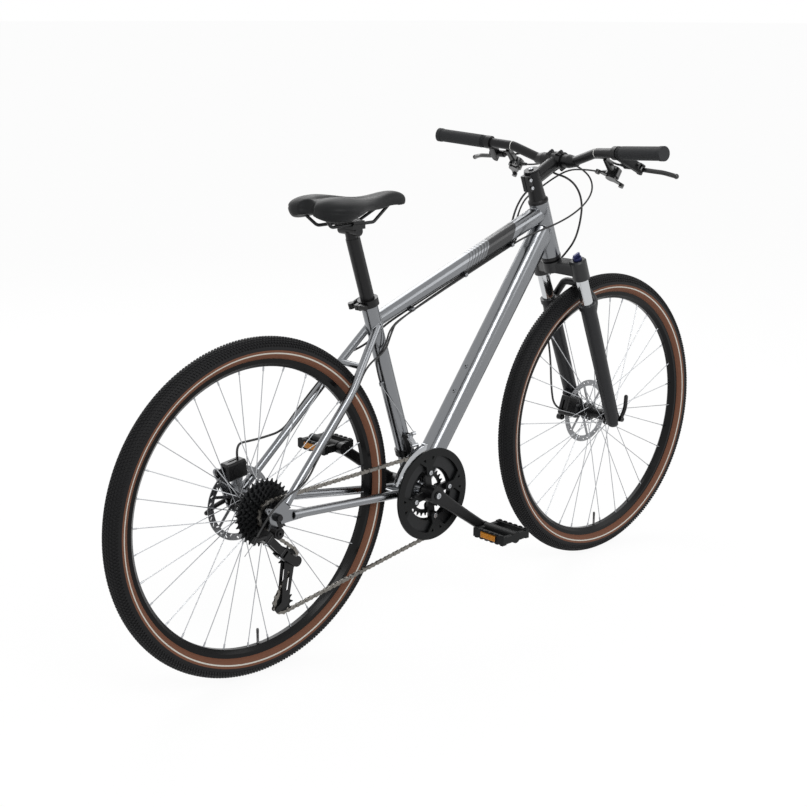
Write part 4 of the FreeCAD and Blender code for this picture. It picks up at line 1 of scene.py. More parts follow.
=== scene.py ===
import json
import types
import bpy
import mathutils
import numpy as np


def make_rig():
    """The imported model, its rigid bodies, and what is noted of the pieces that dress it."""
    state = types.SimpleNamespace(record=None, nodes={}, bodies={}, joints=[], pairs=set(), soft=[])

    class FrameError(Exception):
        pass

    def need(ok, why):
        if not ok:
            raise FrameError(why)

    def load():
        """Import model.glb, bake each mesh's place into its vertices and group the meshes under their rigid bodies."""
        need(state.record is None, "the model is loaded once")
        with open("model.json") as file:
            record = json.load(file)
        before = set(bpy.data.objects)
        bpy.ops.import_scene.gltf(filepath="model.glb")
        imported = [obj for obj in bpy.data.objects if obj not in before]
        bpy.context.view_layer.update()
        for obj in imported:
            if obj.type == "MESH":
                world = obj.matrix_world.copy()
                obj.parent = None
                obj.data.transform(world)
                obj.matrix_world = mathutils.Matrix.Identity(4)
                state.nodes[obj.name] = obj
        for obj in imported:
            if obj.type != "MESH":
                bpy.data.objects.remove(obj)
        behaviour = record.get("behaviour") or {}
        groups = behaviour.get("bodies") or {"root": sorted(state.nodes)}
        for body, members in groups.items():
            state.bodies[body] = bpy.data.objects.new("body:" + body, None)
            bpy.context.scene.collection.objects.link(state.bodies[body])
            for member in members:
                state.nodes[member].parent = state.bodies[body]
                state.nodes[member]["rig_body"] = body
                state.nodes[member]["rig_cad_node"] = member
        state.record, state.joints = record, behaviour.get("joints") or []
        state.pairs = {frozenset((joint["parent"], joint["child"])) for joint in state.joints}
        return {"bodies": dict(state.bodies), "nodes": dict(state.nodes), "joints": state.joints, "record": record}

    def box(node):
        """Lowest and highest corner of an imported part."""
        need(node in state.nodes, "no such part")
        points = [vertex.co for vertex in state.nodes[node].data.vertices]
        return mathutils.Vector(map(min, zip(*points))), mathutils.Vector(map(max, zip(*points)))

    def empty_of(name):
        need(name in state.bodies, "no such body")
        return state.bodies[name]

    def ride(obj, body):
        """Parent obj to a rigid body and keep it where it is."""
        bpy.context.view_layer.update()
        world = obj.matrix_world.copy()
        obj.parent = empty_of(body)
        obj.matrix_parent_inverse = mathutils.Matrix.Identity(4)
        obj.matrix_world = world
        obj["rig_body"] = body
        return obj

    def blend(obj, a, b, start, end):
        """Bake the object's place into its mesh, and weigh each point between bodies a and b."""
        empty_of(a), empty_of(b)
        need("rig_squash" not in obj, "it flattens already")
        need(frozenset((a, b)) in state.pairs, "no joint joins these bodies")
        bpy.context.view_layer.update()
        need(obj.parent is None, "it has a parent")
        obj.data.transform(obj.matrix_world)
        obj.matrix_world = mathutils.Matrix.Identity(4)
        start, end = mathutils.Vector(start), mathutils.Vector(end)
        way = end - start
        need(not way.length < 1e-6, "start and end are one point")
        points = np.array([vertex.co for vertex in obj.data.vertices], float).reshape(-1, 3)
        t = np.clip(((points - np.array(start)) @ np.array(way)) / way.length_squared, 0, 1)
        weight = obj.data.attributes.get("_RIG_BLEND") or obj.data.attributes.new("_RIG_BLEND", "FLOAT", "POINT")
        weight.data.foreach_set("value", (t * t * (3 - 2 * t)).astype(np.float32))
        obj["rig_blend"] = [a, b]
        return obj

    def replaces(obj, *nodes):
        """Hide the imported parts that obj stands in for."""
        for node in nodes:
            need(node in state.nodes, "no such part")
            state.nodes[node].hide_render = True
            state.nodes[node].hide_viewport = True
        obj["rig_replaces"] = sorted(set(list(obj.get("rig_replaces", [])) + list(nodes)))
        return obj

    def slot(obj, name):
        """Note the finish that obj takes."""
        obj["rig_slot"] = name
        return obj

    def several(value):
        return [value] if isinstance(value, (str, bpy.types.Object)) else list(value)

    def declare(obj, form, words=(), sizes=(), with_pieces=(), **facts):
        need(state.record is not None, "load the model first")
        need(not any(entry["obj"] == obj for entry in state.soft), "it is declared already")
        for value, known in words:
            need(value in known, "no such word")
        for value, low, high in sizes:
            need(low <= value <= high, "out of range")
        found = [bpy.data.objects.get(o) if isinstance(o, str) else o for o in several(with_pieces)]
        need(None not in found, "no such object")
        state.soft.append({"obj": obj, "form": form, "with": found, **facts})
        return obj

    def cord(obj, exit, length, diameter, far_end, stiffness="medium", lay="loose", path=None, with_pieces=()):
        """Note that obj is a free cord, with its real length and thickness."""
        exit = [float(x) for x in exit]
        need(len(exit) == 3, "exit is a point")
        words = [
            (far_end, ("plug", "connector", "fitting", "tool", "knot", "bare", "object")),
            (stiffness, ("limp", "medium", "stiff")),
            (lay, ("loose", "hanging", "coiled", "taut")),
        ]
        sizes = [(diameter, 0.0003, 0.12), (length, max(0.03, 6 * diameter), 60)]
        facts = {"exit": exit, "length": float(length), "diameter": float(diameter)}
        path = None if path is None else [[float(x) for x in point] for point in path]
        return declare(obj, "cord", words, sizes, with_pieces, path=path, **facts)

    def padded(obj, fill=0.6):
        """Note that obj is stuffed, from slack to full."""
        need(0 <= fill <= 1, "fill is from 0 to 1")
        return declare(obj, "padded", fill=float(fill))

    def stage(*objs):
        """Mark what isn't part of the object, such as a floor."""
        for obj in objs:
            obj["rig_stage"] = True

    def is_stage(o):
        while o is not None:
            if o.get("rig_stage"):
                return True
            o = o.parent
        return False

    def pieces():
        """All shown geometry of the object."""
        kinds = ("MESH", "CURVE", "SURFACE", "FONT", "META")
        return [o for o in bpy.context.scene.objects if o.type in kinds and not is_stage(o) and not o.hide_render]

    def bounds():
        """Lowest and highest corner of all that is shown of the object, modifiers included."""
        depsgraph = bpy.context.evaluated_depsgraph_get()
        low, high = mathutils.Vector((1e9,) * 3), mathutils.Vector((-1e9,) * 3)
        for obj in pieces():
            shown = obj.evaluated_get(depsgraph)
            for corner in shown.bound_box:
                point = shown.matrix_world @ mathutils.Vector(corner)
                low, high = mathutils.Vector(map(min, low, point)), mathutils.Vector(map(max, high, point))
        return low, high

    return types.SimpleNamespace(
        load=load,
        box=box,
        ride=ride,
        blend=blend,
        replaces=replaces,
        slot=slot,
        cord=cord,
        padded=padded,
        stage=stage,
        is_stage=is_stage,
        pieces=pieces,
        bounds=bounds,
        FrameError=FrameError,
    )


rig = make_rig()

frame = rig.load()

import cmath
import json
import math

import bmesh
import bpy
import numpy as np
from bpy.props import FloatProperty, FloatVectorProperty, IntProperty, PointerProperty
from mathutils import Matrix, Vector

bl_info = {
    "name": "Hybrid bike",
    "version": (1, 0, 0),
    "blender": (4, 5, 0),
    "location": "View3D > Sidebar > Bike",
    "description": "Finishes a packed hybrid bike: materials, tyres, saddle, cables, welds and bolts",
    "category": "Object",
}

joints = {joint["name"]: joint for joint in frame["joints"]}
nodes = frame["nodes"]


def linear(text):
    """An sRGB hex colour as linear red, green and blue."""
    parts = [int(text[i : i + 2], 16) / 255 for i in (1, 3, 5)]
    return tuple(c / 12.92 if c <= 0.04045 else ((c + 0.055) / 1.055) ** 2.4 for c in parts)


def length(name, description, default, least, most):
    """A size in metres that the sidebar shows."""
    return FloatProperty(name=name, description=description, default=default, min=least, max=most,
                         unit="LENGTH", subtype="DISTANCE", precision=4)


def colour(name, description, text):
    """A colour that the sidebar shows."""
    return FloatVectorProperty(name=name, description=description, default=linear(text), size=3,
                               min=0.0, max=1.0, subtype="COLOR")


class BikeSizes(bpy.types.PropertyGroup):
    tread_height: length("Tread height", "How far a tread block stands out of the casing",
                         0.0016, 0.0004, 0.003)
    tread_pitch: length("Tread pitch", "Distance from block to block round the tyre",
                        0.0075, 0.004, 0.03)
    tread_rows: IntProperty(name="Tread rows", description="Rows of blocks across the tyre",
                            default=10, min=2, max=14)
    weld_pitch: length("Weld pitch", "Distance from ripple to ripple of a weld", 0.0026, 0.001, 0.01)
    weld_width: length("Weld width", "Width of a weld bead", 0.0062, 0.002, 0.012)
    housing_radius: length("Housing radius", "Radius of the shift cable housings", 0.0021, 0.001, 0.004)
    hose_radius: length("Hose radius", "Radius of the brake hoses", 0.0025, 0.001, 0.004)


class BikeColours(bpy.types.PropertyGroup):
    metal: colour("Frame", "Bare aluminium of the frame", "#828487")
    panel: colour("Panel", "Dark panel and stripes on the top tube", "#131416")
    sidewall: colour("Sidewall", "Brown wall of the tyres", "#6a4635")
    band: colour("Reflective band", "Light line in the tyre's wall", "#b4b2aa")
    saddle: colour("Saddle", "Vinyl cover of the saddle", "#1b1c1d")
    dial: colour("Lockout dial", "Anodised dial on the right fork leg", "#1d2350")
    reflector: colour("Reflectors", "Pedal reflectors", "#c07a0a")


def feed(tree, node, inputs):
    """Gives a node's inputs their values, or the sockets that feed them."""
    for key, item in inputs.items():
        if isinstance(item, bpy.types.NodeSocket):
            tree.links.new(item, node.inputs[key])
        else:
            node.inputs[key].default_value = item


def add(tree, kind, inputs=None, **settings):
    """A new node with its settings, values and links."""
    node = tree.nodes.new(kind)
    for key, value in settings.items():
        setattr(node, key, value)
    feed(tree, node, inputs or {})
    return node


def blank(name):
    """A new material, its tree and its shader."""
    made = bpy.data.materials.new(name)
    made.use_nodes = True
    return made, made.node_tree, made.node_tree.nodes["Principled BSDF"]


def grained(name, light, dark, rough, grain, relief, metal=0.0, coat=0.0, spread=0.08, shine=0.5):
    """A surface whose colour, shine and relief vary over grains of a size in metres."""
    made, tree, shader = blank(name)
    place = add(tree, "ShaderNodeTexCoord").outputs["Object"]
    noise = add(tree, "ShaderNodeTexNoise", {"Vector": place, "Scale": 1 / grain, "Detail": 3.0})
    share = noise.outputs["Fac"]
    tint = add(tree, "ShaderNodeMix", {0: share, 6: (*dark, 1), 7: (*light, 1)}, data_type="RGBA")
    dull = add(tree, "ShaderNodeMapRange", {
        "Value": share, "To Min": rough - spread, "To Max": rough + spread})
    bump = add(tree, "ShaderNodeBump", {"Height": share, "Strength": 0.6, "Distance": relief})
    feed(tree, shader, {
        "Base Color": tint.outputs[2], "Roughness": dull.outputs["Result"], "Normal": bump.outputs["Normal"],
        "Metallic": metal, "Specular IOR Level": shine, "Coat Weight": coat, "Coat Roughness": 0.12})
    return made


def repaint(made, mask_of, paint, rough):
    """Lays a paint, which is no metal, over a material where the mask is one."""
    tree = made.node_tree
    mask = mask_of(tree)
    shader = tree.nodes["Principled BSDF"]
    tint, dull = (shader.inputs[key].links[0].from_socket for key in ("Base Color", "Roughness"))
    metal = shader.inputs["Metallic"].default_value
    tint = add(tree, "ShaderNodeMix", {0: mask, 6: tint, 7: (*paint, 1)}, data_type="RGBA")
    dull = add(tree, "ShaderNodeMix", {0: mask, 2: dull, 3: rough})
    metal = add(tree, "ShaderNodeMix", {0: mask, 2: metal, 3: 0.0})
    feed(tree, shader, {
        "Base Color": tint.outputs[2], "Roughness": dull.outputs[0], "Metallic": metal.outputs[0]})


# Places and ways of the bike's main lines, in metres; those of the tubes are as in the part's source
shell = Vector(joints["crank_spin"]["pos_m"])
front_axle = Vector(joints["front_wheel_spin"]["pos_m"])
rear_axle = Vector(joints["rear_wheel_spin"]["pos_m"])
steer_point = Vector(joints["steering_turn"]["pos_m"])
steer_line = Vector(joints["steering_turn"]["axis"]).normalized()
seat_line = Vector(joints["seat_height"]["axis"]).normalized()
across = Vector((0, 1, 0))
top_start = Vector((-0.21976, 0, 0.70178))
top_line = Vector((0.94201, 0, 0.33557))
down_line = Vector((0.60610, 0, 0.79539))
clamp_bottom = Vector((0.3930, 0, 0.7312))

# Panel and stripes of the top tube: places in metres along, above and beside its start, widths as
# shares of a stripe's pitch, and the stripes' slant and strength as plain shares
stripe_slant = 0.95
panel_start, panel_end = 0.354, 0.446
stripes_start, stripe_pitch, stripe_count = 0.288, 0.0094, 7
first_width, width_growth, stripe_strength = 0.28, 0.07, 0.6
tube_low, tube_high, tube_side = -0.0150, 0.0225, 0.0215
# Steps of arithmetic to the mask: name, operation, and names or numbers. Compare gives one where
# the first lies no further from the second than the third
stripe_steps = (
    ("lean", "MULTIPLY", "up", stripe_slant),
    ("slanted", "SUBTRACT", "along", "lean"),
    ("panel", "COMPARE", "slanted", (panel_start + panel_end) / 2, (panel_end - panel_start) / 2),
    ("run", "SUBTRACT", "slanted", stripes_start),
    ("count", "DIVIDE", "run", stripe_pitch),
    ("phase", "FRACT", "count"),
    ("width", "MULTIPLY_ADD", "count", width_growth, first_width),
    ("bar", "LESS_THAN", "phase", "width"),
    ("inside", "COMPARE", "count", stripe_count / 2, stripe_count / 2),
    ("strength", "MULTIPLY", "inside", stripe_strength),
    ("bars", "MULTIPLY", "bar", "strength"),
    ("dark", "MAXIMUM", "panel", "bars"),
    ("wall", "COMPARE", "up", (tube_low + tube_high) / 2, (tube_high - tube_low) / 2),
    ("near", "COMPARE", "side", 0.0, tube_side),
    ("on tube", "MULTIPLY", "wall", "near"),
    ("mask", "MULTIPLY", "dark", "on tube"),
)


def stripe_mask(tree):
    """One where the top tube is dark: a panel with slanted ends, and slanted stripes
    that grow towards it. The tube's own directions come from the Mapping node."""
    place = add(tree, "ShaderNodeTexCoord").outputs["Object"]
    turn = (0, -math.atan2(top_line.z, top_line.x), 0)
    spot = add(tree, "ShaderNodeMapping", {"Vector": place, "Location": top_start, "Rotation": turn},
               vector_type="TEXTURE")
    part = add(tree, "ShaderNodeSeparateXYZ", {"Vector": spot.outputs["Vector"]}).outputs
    found = {"along": part["X"], "side": part["Y"], "up": part["Z"]}
    for name, operation, *items in stripe_steps:
        inputs = {i: found.get(item, item) for i, item in enumerate(items)}
        found[name] = add(tree, "ShaderNodeMath", inputs, operation=operation).outputs[0]
    return found["mask"]


def crown_mask(tree):
    """One where the fork's upper part is painted: above the lower edge of the crown's clamps."""
    place = add(tree, "ShaderNodeTexCoord").outputs["Object"]
    height = add(tree, "ShaderNodeVectorMath", {0: place, 1: steer_line}, operation="DOT_PRODUCT")
    return add(tree, "ShaderNodeMath", {0: height.outputs["Value"], 1: clamp_bottom.dot(steer_line)},
               operation="GREATER_THAN").outputs[0]


# Finishes by name: light colour, dark colour, roughness, size of grain and relief in metres, what
# else the surface has, and the nodes that wear it. A colour that isn't a hex value is one of
# BikeColours, and the dark one is then a share of it
finishes = {
    # Bare frame: a soft grey metal with fine sanding marks under a thin clear coat
    "brushed aluminium": ("metal", 0.86, 0.22, 0.0007, 0.00001, {"metal": 1.0, "coat": 0.15},
                          "rear_triangle"),
    "brushed aluminium tubes": ("metal", 0.86, 0.22, 0.0007, 0.00001, {"metal": 1.0, "coat": 0.15},
                                "main_frame"),
    # Anodised parts: nearly black, with a soft metal sheen
    "black anodised aluminium": (
        "#101012", "#0a0a0b", 0.36, 0.0006, 0.000008, {"metal": 0.3, "shine": 0.4},
        "stem handlebar seatpost right_crank left_crank seat_clamp bearing_cups front_hub rear_hub "
        "front_caliper rear_caliper brake_master_cylinders rear_derailleur_knuckle rd_outer_link "
        "rd_inner_link rd_mover rd_cage front_derailleur_clamp seat_quick_release front_quick_release "
        "rear_quick_release"),
    # Rims: the same finish, a little glossier
    "black anodised rim": ("#0d0d0e", "#090909", 0.22, 0.0008, 0.000006, {"metal": 0.3, "shine": 0.2},
                           "front_rim rear_rim"),
    # Fork legs: satin black paint with a faint orange peel
    "satin black paint": ("#16171a", "#101114", 0.4, 0.002, 0.00002, {"coat": 0.05, "shine": 0.3},
                          "fork_lowers"),
    # Stanchions: smooth, bright chromed steel
    "chromed steel": ("#c9cbcd", "#b9bbbd", 0.12, 0.001, 0.000002, {"metal": 1.0, "spread": 0.03},
                      "fork_uppers"),
    # Spokes and small fittings: bright steel with fine rolling marks
    "stainless steel": ("#bfc1c4", "#9ea0a3", 0.24, 0.0008, 0.000004, {"metal": 1.0},
                        "front_spokes rear_spokes fd_link fd_cage"),
    # Rotors: ground steel, duller than the spokes
    "ground steel": ("#939496", "#77787a", 0.34, 0.001, 0.00001, {"metal": 1.0},
                     "front_rotor rear_rotor"),
    # Chain: oiled steel, darker and browner
    "oiled chain steel": ("#8d8a85", "#5b5853", 0.34, 0.002, 0.00001, {"metal": 1.0}, "chain"),
    # Cogs, rings and axles: black oxide with a dull shine
    "black oxide steel": ("#1b1c1e", "#101112", 0.38, 0.0012, 0.000008, {"metal": 0.5},
                          "chainrings cassette saddle_rails front_axle rear_axle crank_spindle"),
    # Shifters and levers: smooth black nylon
    "glossy nylon": ("#0e0f10", "#0a0b0b", 0.22, 0.003, 0.000006, {"coat": 0.3, "spread": 0.04},
                     "shifter_housings left_thumb_lever left_finger_lever right_thumb_lever "
                     "right_finger_lever left_brake_lever right_brake_lever"),
    # Guard, pedals and pulleys: moulded nylon with a fine spark-eroded grain. The nodes that
    # pieces of this script replace wear it too, unseen
    "moulded nylon": ("#131415", "#0d0e0e", 0.48, 0.0009, 0.00003, {"shine": 0.15},
                      "chain_guard left_pedal right_pedal guide_pulley tension_pulley front_tyre "
                      "rear_tyre saddle frame_cables control_cable_loops front_brake_hose"),
    # Lockout dial: blue anodised metal
    "blue anodised aluminium": ("dial", 0.7, 0.3, 0.0006, 0.000008, {"metal": 0.6}, "lockout_knob"),
    # Grips: soft dark rubber with a fine knurl
    "grip rubber": ("#2a2b2d", "#1c1d1e", 0.6, 0.0022, 0.0002, {"shine": 0.2}, "grips"),
    # Tyres: dull tread rubber, a brown skin wall and a light reflective line
    "tyre rubber": ("#141416", "#0c0c0d", 0.6, 0.0015, 0.00008, {"shine": 0.2}, ""),
    "skin wall rubber": ("sidewall", 0.7, 0.62, 0.0012, 0.00006, {"shine": 0.12}, ""),
    "reflective film": ("band", 0.85, 0.4, 0.0008, 0.00002, {}, ""),
    # Cables: extruded vinyl jacket
    "cable jacket": ("#0f0f10", "#0a0a0a", 0.42, 0.0015, 0.00002, {}, ""),
    # Saddle: matte vinyl with a leather grain
    "vinyl": ("saddle", 0.65, 0.5, 0.0011, 0.00016, {"shine": 0.15}, ""),
    # Reflectors: amber lens over small prisms
    "amber reflector": ("reflector", 0.6, 0.2, 0.0016, 0.0001,
                        {"coat": 0.2, "spread": 0.05, "shine": 0.3}, ""),
    # Ring marks on the bar: plain white ink
    "white ink": ("#e6e6e2", "#d6d6d2", 0.5, 0.001, 0.00001, {}, ""),
}


class BIKE_OT_materials(bpy.types.Operator):
    """Makes the materials and gives each CAD node its own"""

    bl_idname = "bike.materials"
    bl_label = "Materials"

    def execute(self, context):
        looks = context.scene.bike_colours
        for plain in {old for node in nodes.values() for old in node.data.materials if old}:
            bpy.data.materials.remove(plain)
        dressed = set()
        for name, (light, dark, rough, grain, relief, more, wearers) in finishes.items():
            if light.startswith("#"):
                light, dark = linear(light), linear(dark)
            else:
                light = getattr(looks, light)
                dark = [c * dark for c in light]
            made = grained(name, light, dark, rough, grain, relief, **more)
            for node in wearers.split():
                nodes[node].data.materials.clear()
                nodes[node].data.materials.append(made)
                dressed.add(node)
        if dressed != set(nodes):
            raise RuntimeError(f"nodes with no material: {sorted(set(nodes) ^ dressed)}")
        # The top tube's dark panel with its stripes, and the fork crown's black paint
        repaint(bpy.data.materials["brushed aluminium tubes"], stripe_mask, looks.panel, rough=0.3)
        repaint(bpy.data.materials["chromed steel"], crown_mask, linear("#0f1012"), rough=0.42)
        return {"FINISHED"}


def shown(name, data):
    """A new object of some data, linked into the scene."""
    made = bpy.data.objects.new(name, data)
    bpy.context.scene.collection.objects.link(made)
    return made


def finished(holder):
    """The mesh of an object as its modifiers leave it. The object itself is removed."""
    view = bpy.context.evaluated_depsgraph_get()
    mesh = bpy.data.meshes.new_from_object(holder.evaluated_get(view))
    bpy.data.objects.remove(holder)
    return mesh


def piece(name, points, faces, wears, marks=None, smooth=True):
    """A mesh object of its own from points, faces and material names."""
    mesh = bpy.data.meshes.new(name)
    mesh.from_pydata([tuple(p) for p in points], [], [tuple(f) for f in faces])
    for finish in wears:
        mesh.materials.append(bpy.data.materials[finish])
    if marks is not None:
        mesh.polygons.foreach_set("material_index", np.asarray(marks, dtype=np.int32))
    mesh.polygons.foreach_set("use_smooth", [smooth] * len(mesh.polygons))
    mesh.validate()
    return shown(name, mesh)


def ring_faces(rings, sides, closed=False):
    """Faces between rings of points. The ends of an open row of rings are capped; a
    closed one joins its last ring to its first."""
    faces = []
    for i in range(rings if closed else rings - 1):
        low, high = i * sides, (i + 1) % rings * sides
        for j in range(sides):
            k = (j + 1) % sides
            faces.append((low + j, low + k, high + k, high + j))
    if not closed:
        faces.append(tuple(range(sides))[::-1])
        faces.append(tuple(range((rings - 1) * sides, rings * sides)))
    return faces


def lathe(profile, around, closed=False):
    """Points and faces of a profile of (radius, height) turned about the Z axis."""
    angles = np.arange(around) * (2 * math.pi / around)
    points = [(r * math.cos(a), r * math.sin(a), z) for r, z in profile for a in angles]
    return np.array(points), ring_faces(len(profile), around, closed)


def facing(z_way, x_way):
    """The turn that takes Z to the first way, and X as near as can be to the second."""
    z = Vector(z_way).normalized()
    x = (Vector(x_way) - z * Vector(x_way).dot(z)).normalized()
    return Matrix((x, z.cross(x), z)).transposed()


def placed(points, where, z_way, x_way):
    """Points moved to a place and turned so that Z and X run the given ways."""
    return np.asarray(points) @ np.array(facing(z_way, x_way)).T + np.array(where)


def arc_points(first, middle, last, count):
    """Points along the arc through three points, which is less than half a turn."""
    a, b, c = (complex(*point) for point in (first, middle, last))
    ratio = (c - a) / (b - a)
    centre = a + (b - a) * (ratio - abs(ratio) ** 2) / (2j * ratio.imag)
    span = cmath.phase((c - centre) / (a - centre))
    spots = [centre + (a - centre) * cmath.exp(1j * span * i / count) for i in range(count + 1)]
    return [(spot.real, spot.imag) for spot in spots]


def copies_tree():
    """Node tree that sets one copy of a shape on each point, turned and sized by the
    point's own attributes, with a little chance in the size."""
    tree = bpy.data.node_groups.new("placed copies", "GeometryNodeTree")
    for name, kind in (("Points", "Geometry"), ("Shape", "Object"), ("Finish", "Material"),
                       ("Unevenness", "Float"), ("Seed", "Int")):
        tree.interface.new_socket(name, in_out="INPUT", socket_type="NodeSocket" + kind)
    tree.interface.new_socket("Copies", in_out="OUTPUT", socket_type="NodeSocketGeometry")
    start = add(tree, "NodeGroupInput").outputs
    info = add(tree, "GeometryNodeObjectInfo", {"Object": start["Shape"]})
    turn, size = (
        add(tree, "GeometryNodeInputNamedAttribute", {"Name": name}, data_type="FLOAT_VECTOR")
        for name in ("turn", "size"))
    way = add(tree, "FunctionNodeEulerToRotation", {"Euler": turn.outputs["Attribute"]})
    least, most = (
        add(tree, "ShaderNodeMath", {0: 1.0, 1: start["Unevenness"]}, operation=operation)
        for operation in ("SUBTRACT", "ADD"))
    chance = add(tree, "FunctionNodeRandomValue", {
        2: least.outputs[0], 3: most.outputs[0], "Seed": start["Seed"]}, data_type="FLOAT")
    grown = add(tree, "ShaderNodeVectorMath", {
        0: size.outputs["Attribute"], "Scale": chance.outputs[1]}, operation="SCALE")
    instances = add(tree, "GeometryNodeInstanceOnPoints", {
        "Points": start["Points"], "Instance": info.outputs["Geometry"],
        "Rotation": way.outputs["Rotation"], "Scale": grown.outputs["Vector"]})
    real = add(tree, "GeometryNodeRealizeInstances", {"Geometry": instances.outputs["Instances"]})
    worn = add(tree, "GeometryNodeSetMaterial", {
        "Geometry": real.outputs["Geometry"], "Material": start["Finish"]})
    add(tree, "NodeGroupOutput", {"Copies": worn.outputs["Geometry"]})
    return tree


def copies(name, shape, places, finish, unevenness=0.0):
    """One mesh of all copies of a shape. A place is a point, the ways of the copy's
    Z and X, and its size along X, Y and Z."""
    points, faces, smooth = shape
    model = piece(name + "_shape", points, faces, [], smooth=smooth)
    mesh = bpy.data.meshes.new(name + "_points")
    mesh.from_pydata([tuple(spot) for spot, _, _, _ in places], [], [])
    turns = [facing(z_way, x_way).to_euler("XYZ") for _, z_way, x_way, _ in places]
    sizes = [size for _, _, _, size in places]
    for key, rows in (("turn", turns), ("size", sizes)):
        mesh.attributes.new(key, "FLOAT_VECTOR", "POINT").data.foreach_set(
            "vector", np.array([tuple(r) for r in rows], dtype=np.float32).ravel())
    holder = shown(name + "_points", mesh)
    tree = bpy.data.node_groups.get("placed copies") or copies_tree()
    modifier = holder.modifiers.new("copies", "NODES")
    modifier.node_group = tree
    keys = {item.name: item.identifier for item in tree.interface.items_tree}
    modifier[keys["Shape"]] = model
    modifier[keys["Finish"]] = bpy.data.materials[finish]
    modifier[keys["Unevenness"]] = unevenness
    modifier[keys["Seed"]] = 7
    made = shown(name, finished(holder))
    made.data.name = name
    bpy.data.objects.remove(model)
    if not made.data.polygons:
        raise RuntimeError(f"{name} came out empty")
    return made


# Tyre section over the tread, in metres: radius from the axle, distance from the middle plane
tyre_radius = 0.358
shoulder_radius, shoulder_side = 0.351, 0.0162
waist = (0.3355, 0.0224)
bead = (0.3125, 0.0096)
# The brown wall lies inside a radius and outside a distance; the light line between two radii
brown_radius, brown_side = 0.3325, 0.008
band_low, band_high = 0.3245, 0.3274
# The tread's reach from the middle along the casing, the share of it where the outer rows start,
# what the blocks take of pitch, row and height, and how far they slant
tread_reach = 0.0300
outer_rows = 0.6
block_length, outer_block_length, block_width, outer_block_height = 0.62, 0.52, 0.82, 1.35
block_skew = 0.5
# The valve starts inside the rim and points to the axle: radius, height
valve_start = 0.2975
valve_profile = [(0.0033, 0.0), (0.0033, 0.002), (0.0028, 0.0022), (0.0028, 0.022), (0.0024, 0.0225),
                 (0.0030, 0.0232), (0.0031, 0.031), (0.0022, 0.034)]


class BIKE_OT_tyres(bpy.types.Operator):
    """Makes both tyres: casing with brown walls, herringbone tread and valve"""

    bl_idname = "bike.tyres"
    bl_label = "Tyres"

    def execute(self, context):
        sizes = context.scene.bike_sizes
        around = 240
        half = self.half_section(sizes.tread_height)
        profile = [(r, -y) for r, y in half[::-1]] + half[1:]
        points, faces = lathe(profile, around, closed=True)
        rubbers = []
        for (r, y), (next_r, next_y) in zip(profile, profile[1:] + profile[:1]):
            rubbers += [self.rubber((r + next_r) / 2, abs(y + next_y) / 2)] * around
        for end, axle in (("front", front_axle), ("rear", rear_axle)):
            casing = piece(end + "_tyre_casing", placed(points, axle, across, (1, 0, 0)), faces,
                           ["tyre rubber", "skin wall rubber", "reflective film"], rubbers)
            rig.ride(casing, end + "_wheel")
            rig.replaces(casing, end + "_tyre")
            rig.slot(casing, "tyre rubber")
            tread_piece = copies(end + "_tread", self.block(), self.blocks(axle, half, sizes), "tyre rubber")
            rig.ride(tread_piece, end + "_wheel")
            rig.slot(tread_piece, "tyre rubber")
            stem, stem_faces = lathe(valve_profile, around=14)
            up = Vector((0, 0, 1))
            valve = piece(end + "_valve", placed(stem, axle - up * valve_start, up, (1, 0, 0)), stem_faces,
                          ["glossy nylon"])
            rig.ride(valve, end + "_wheel")
        return {"FINISHED"}

    def half_section(self, tread_height):
        """The casing's outline from the middle of the tread to one bead."""
        crown = (tyre_radius - tread_height, 0)
        shoulder = (shoulder_radius - tread_height, shoulder_side)
        tread = arc_points((shoulder[0], -shoulder[1]), crown, shoulder, count=16)[8:]
        return tread + arc_points(shoulder, waist, bead, count=44)[1:]

    def rubber(self, radius, side):
        """Which of the casing's three rubbers lies at a place of its section."""
        if band_low < radius < band_high:
            return 2
        return 1 if radius < brown_radius and side > brown_side else 0

    def blocks(self, axle, half, sizes):
        """Places of the tread blocks, row by row across the tyre."""
        radii, sides = ([point[k] for point in half] for k in (0, 1))
        run = [0.0]
        for here, there in zip(half, half[1:]):
            run.append(run[-1] + math.dist(here, there))
        count = round(2 * math.pi * tyre_radius / sizes.tread_pitch)
        step = 0.001
        places = []
        for row in range(sizes.tread_rows):
            way = (row + 0.5) / sizes.tread_rows * 2 - 1
            hand = math.copysign(1, way)
            far = abs(way) * tread_reach
            r, further = (float(np.interp(reach, run, radii)) for reach in (far, far + step))
            y = float(np.interp(far, run, sides)) * hand
            lean = math.atan2(r - further, step)
            outer = abs(way) > outer_rows
            size = (sizes.tread_pitch * (outer_block_length if outer else block_length),
                    2 * tread_reach / sizes.tread_rows * block_width,
                    sizes.tread_height * (outer_block_height if outer else 1.0))
            for j in range(count):
                angle = (j + 0.5 * (row % 2)) * 2 * math.pi / count
                out = Vector((math.cos(angle), 0, math.sin(angle)))
                round_way = Vector((-math.sin(angle), 0, math.cos(angle)))
                normal = out * math.cos(lean) + across * (math.sin(lean) * hand)
                places.append((axle + out * r + across * y, normal,
                               round_way + across * (block_skew * hand), size))
        return places

    def block(self):
        """Tread block with a narrower top, one unit each way, rooted below Z 0."""
        low = [(-0.5, -0.5, -0.3), (0.5, -0.5, -0.3), (0.5, 0.5, -0.3), (-0.5, 0.5, -0.3)]
        high = [(x * 0.8, y * 0.8, 1.0) for x, y, _ in low]
        return low + high, ring_faces(2, 4), False


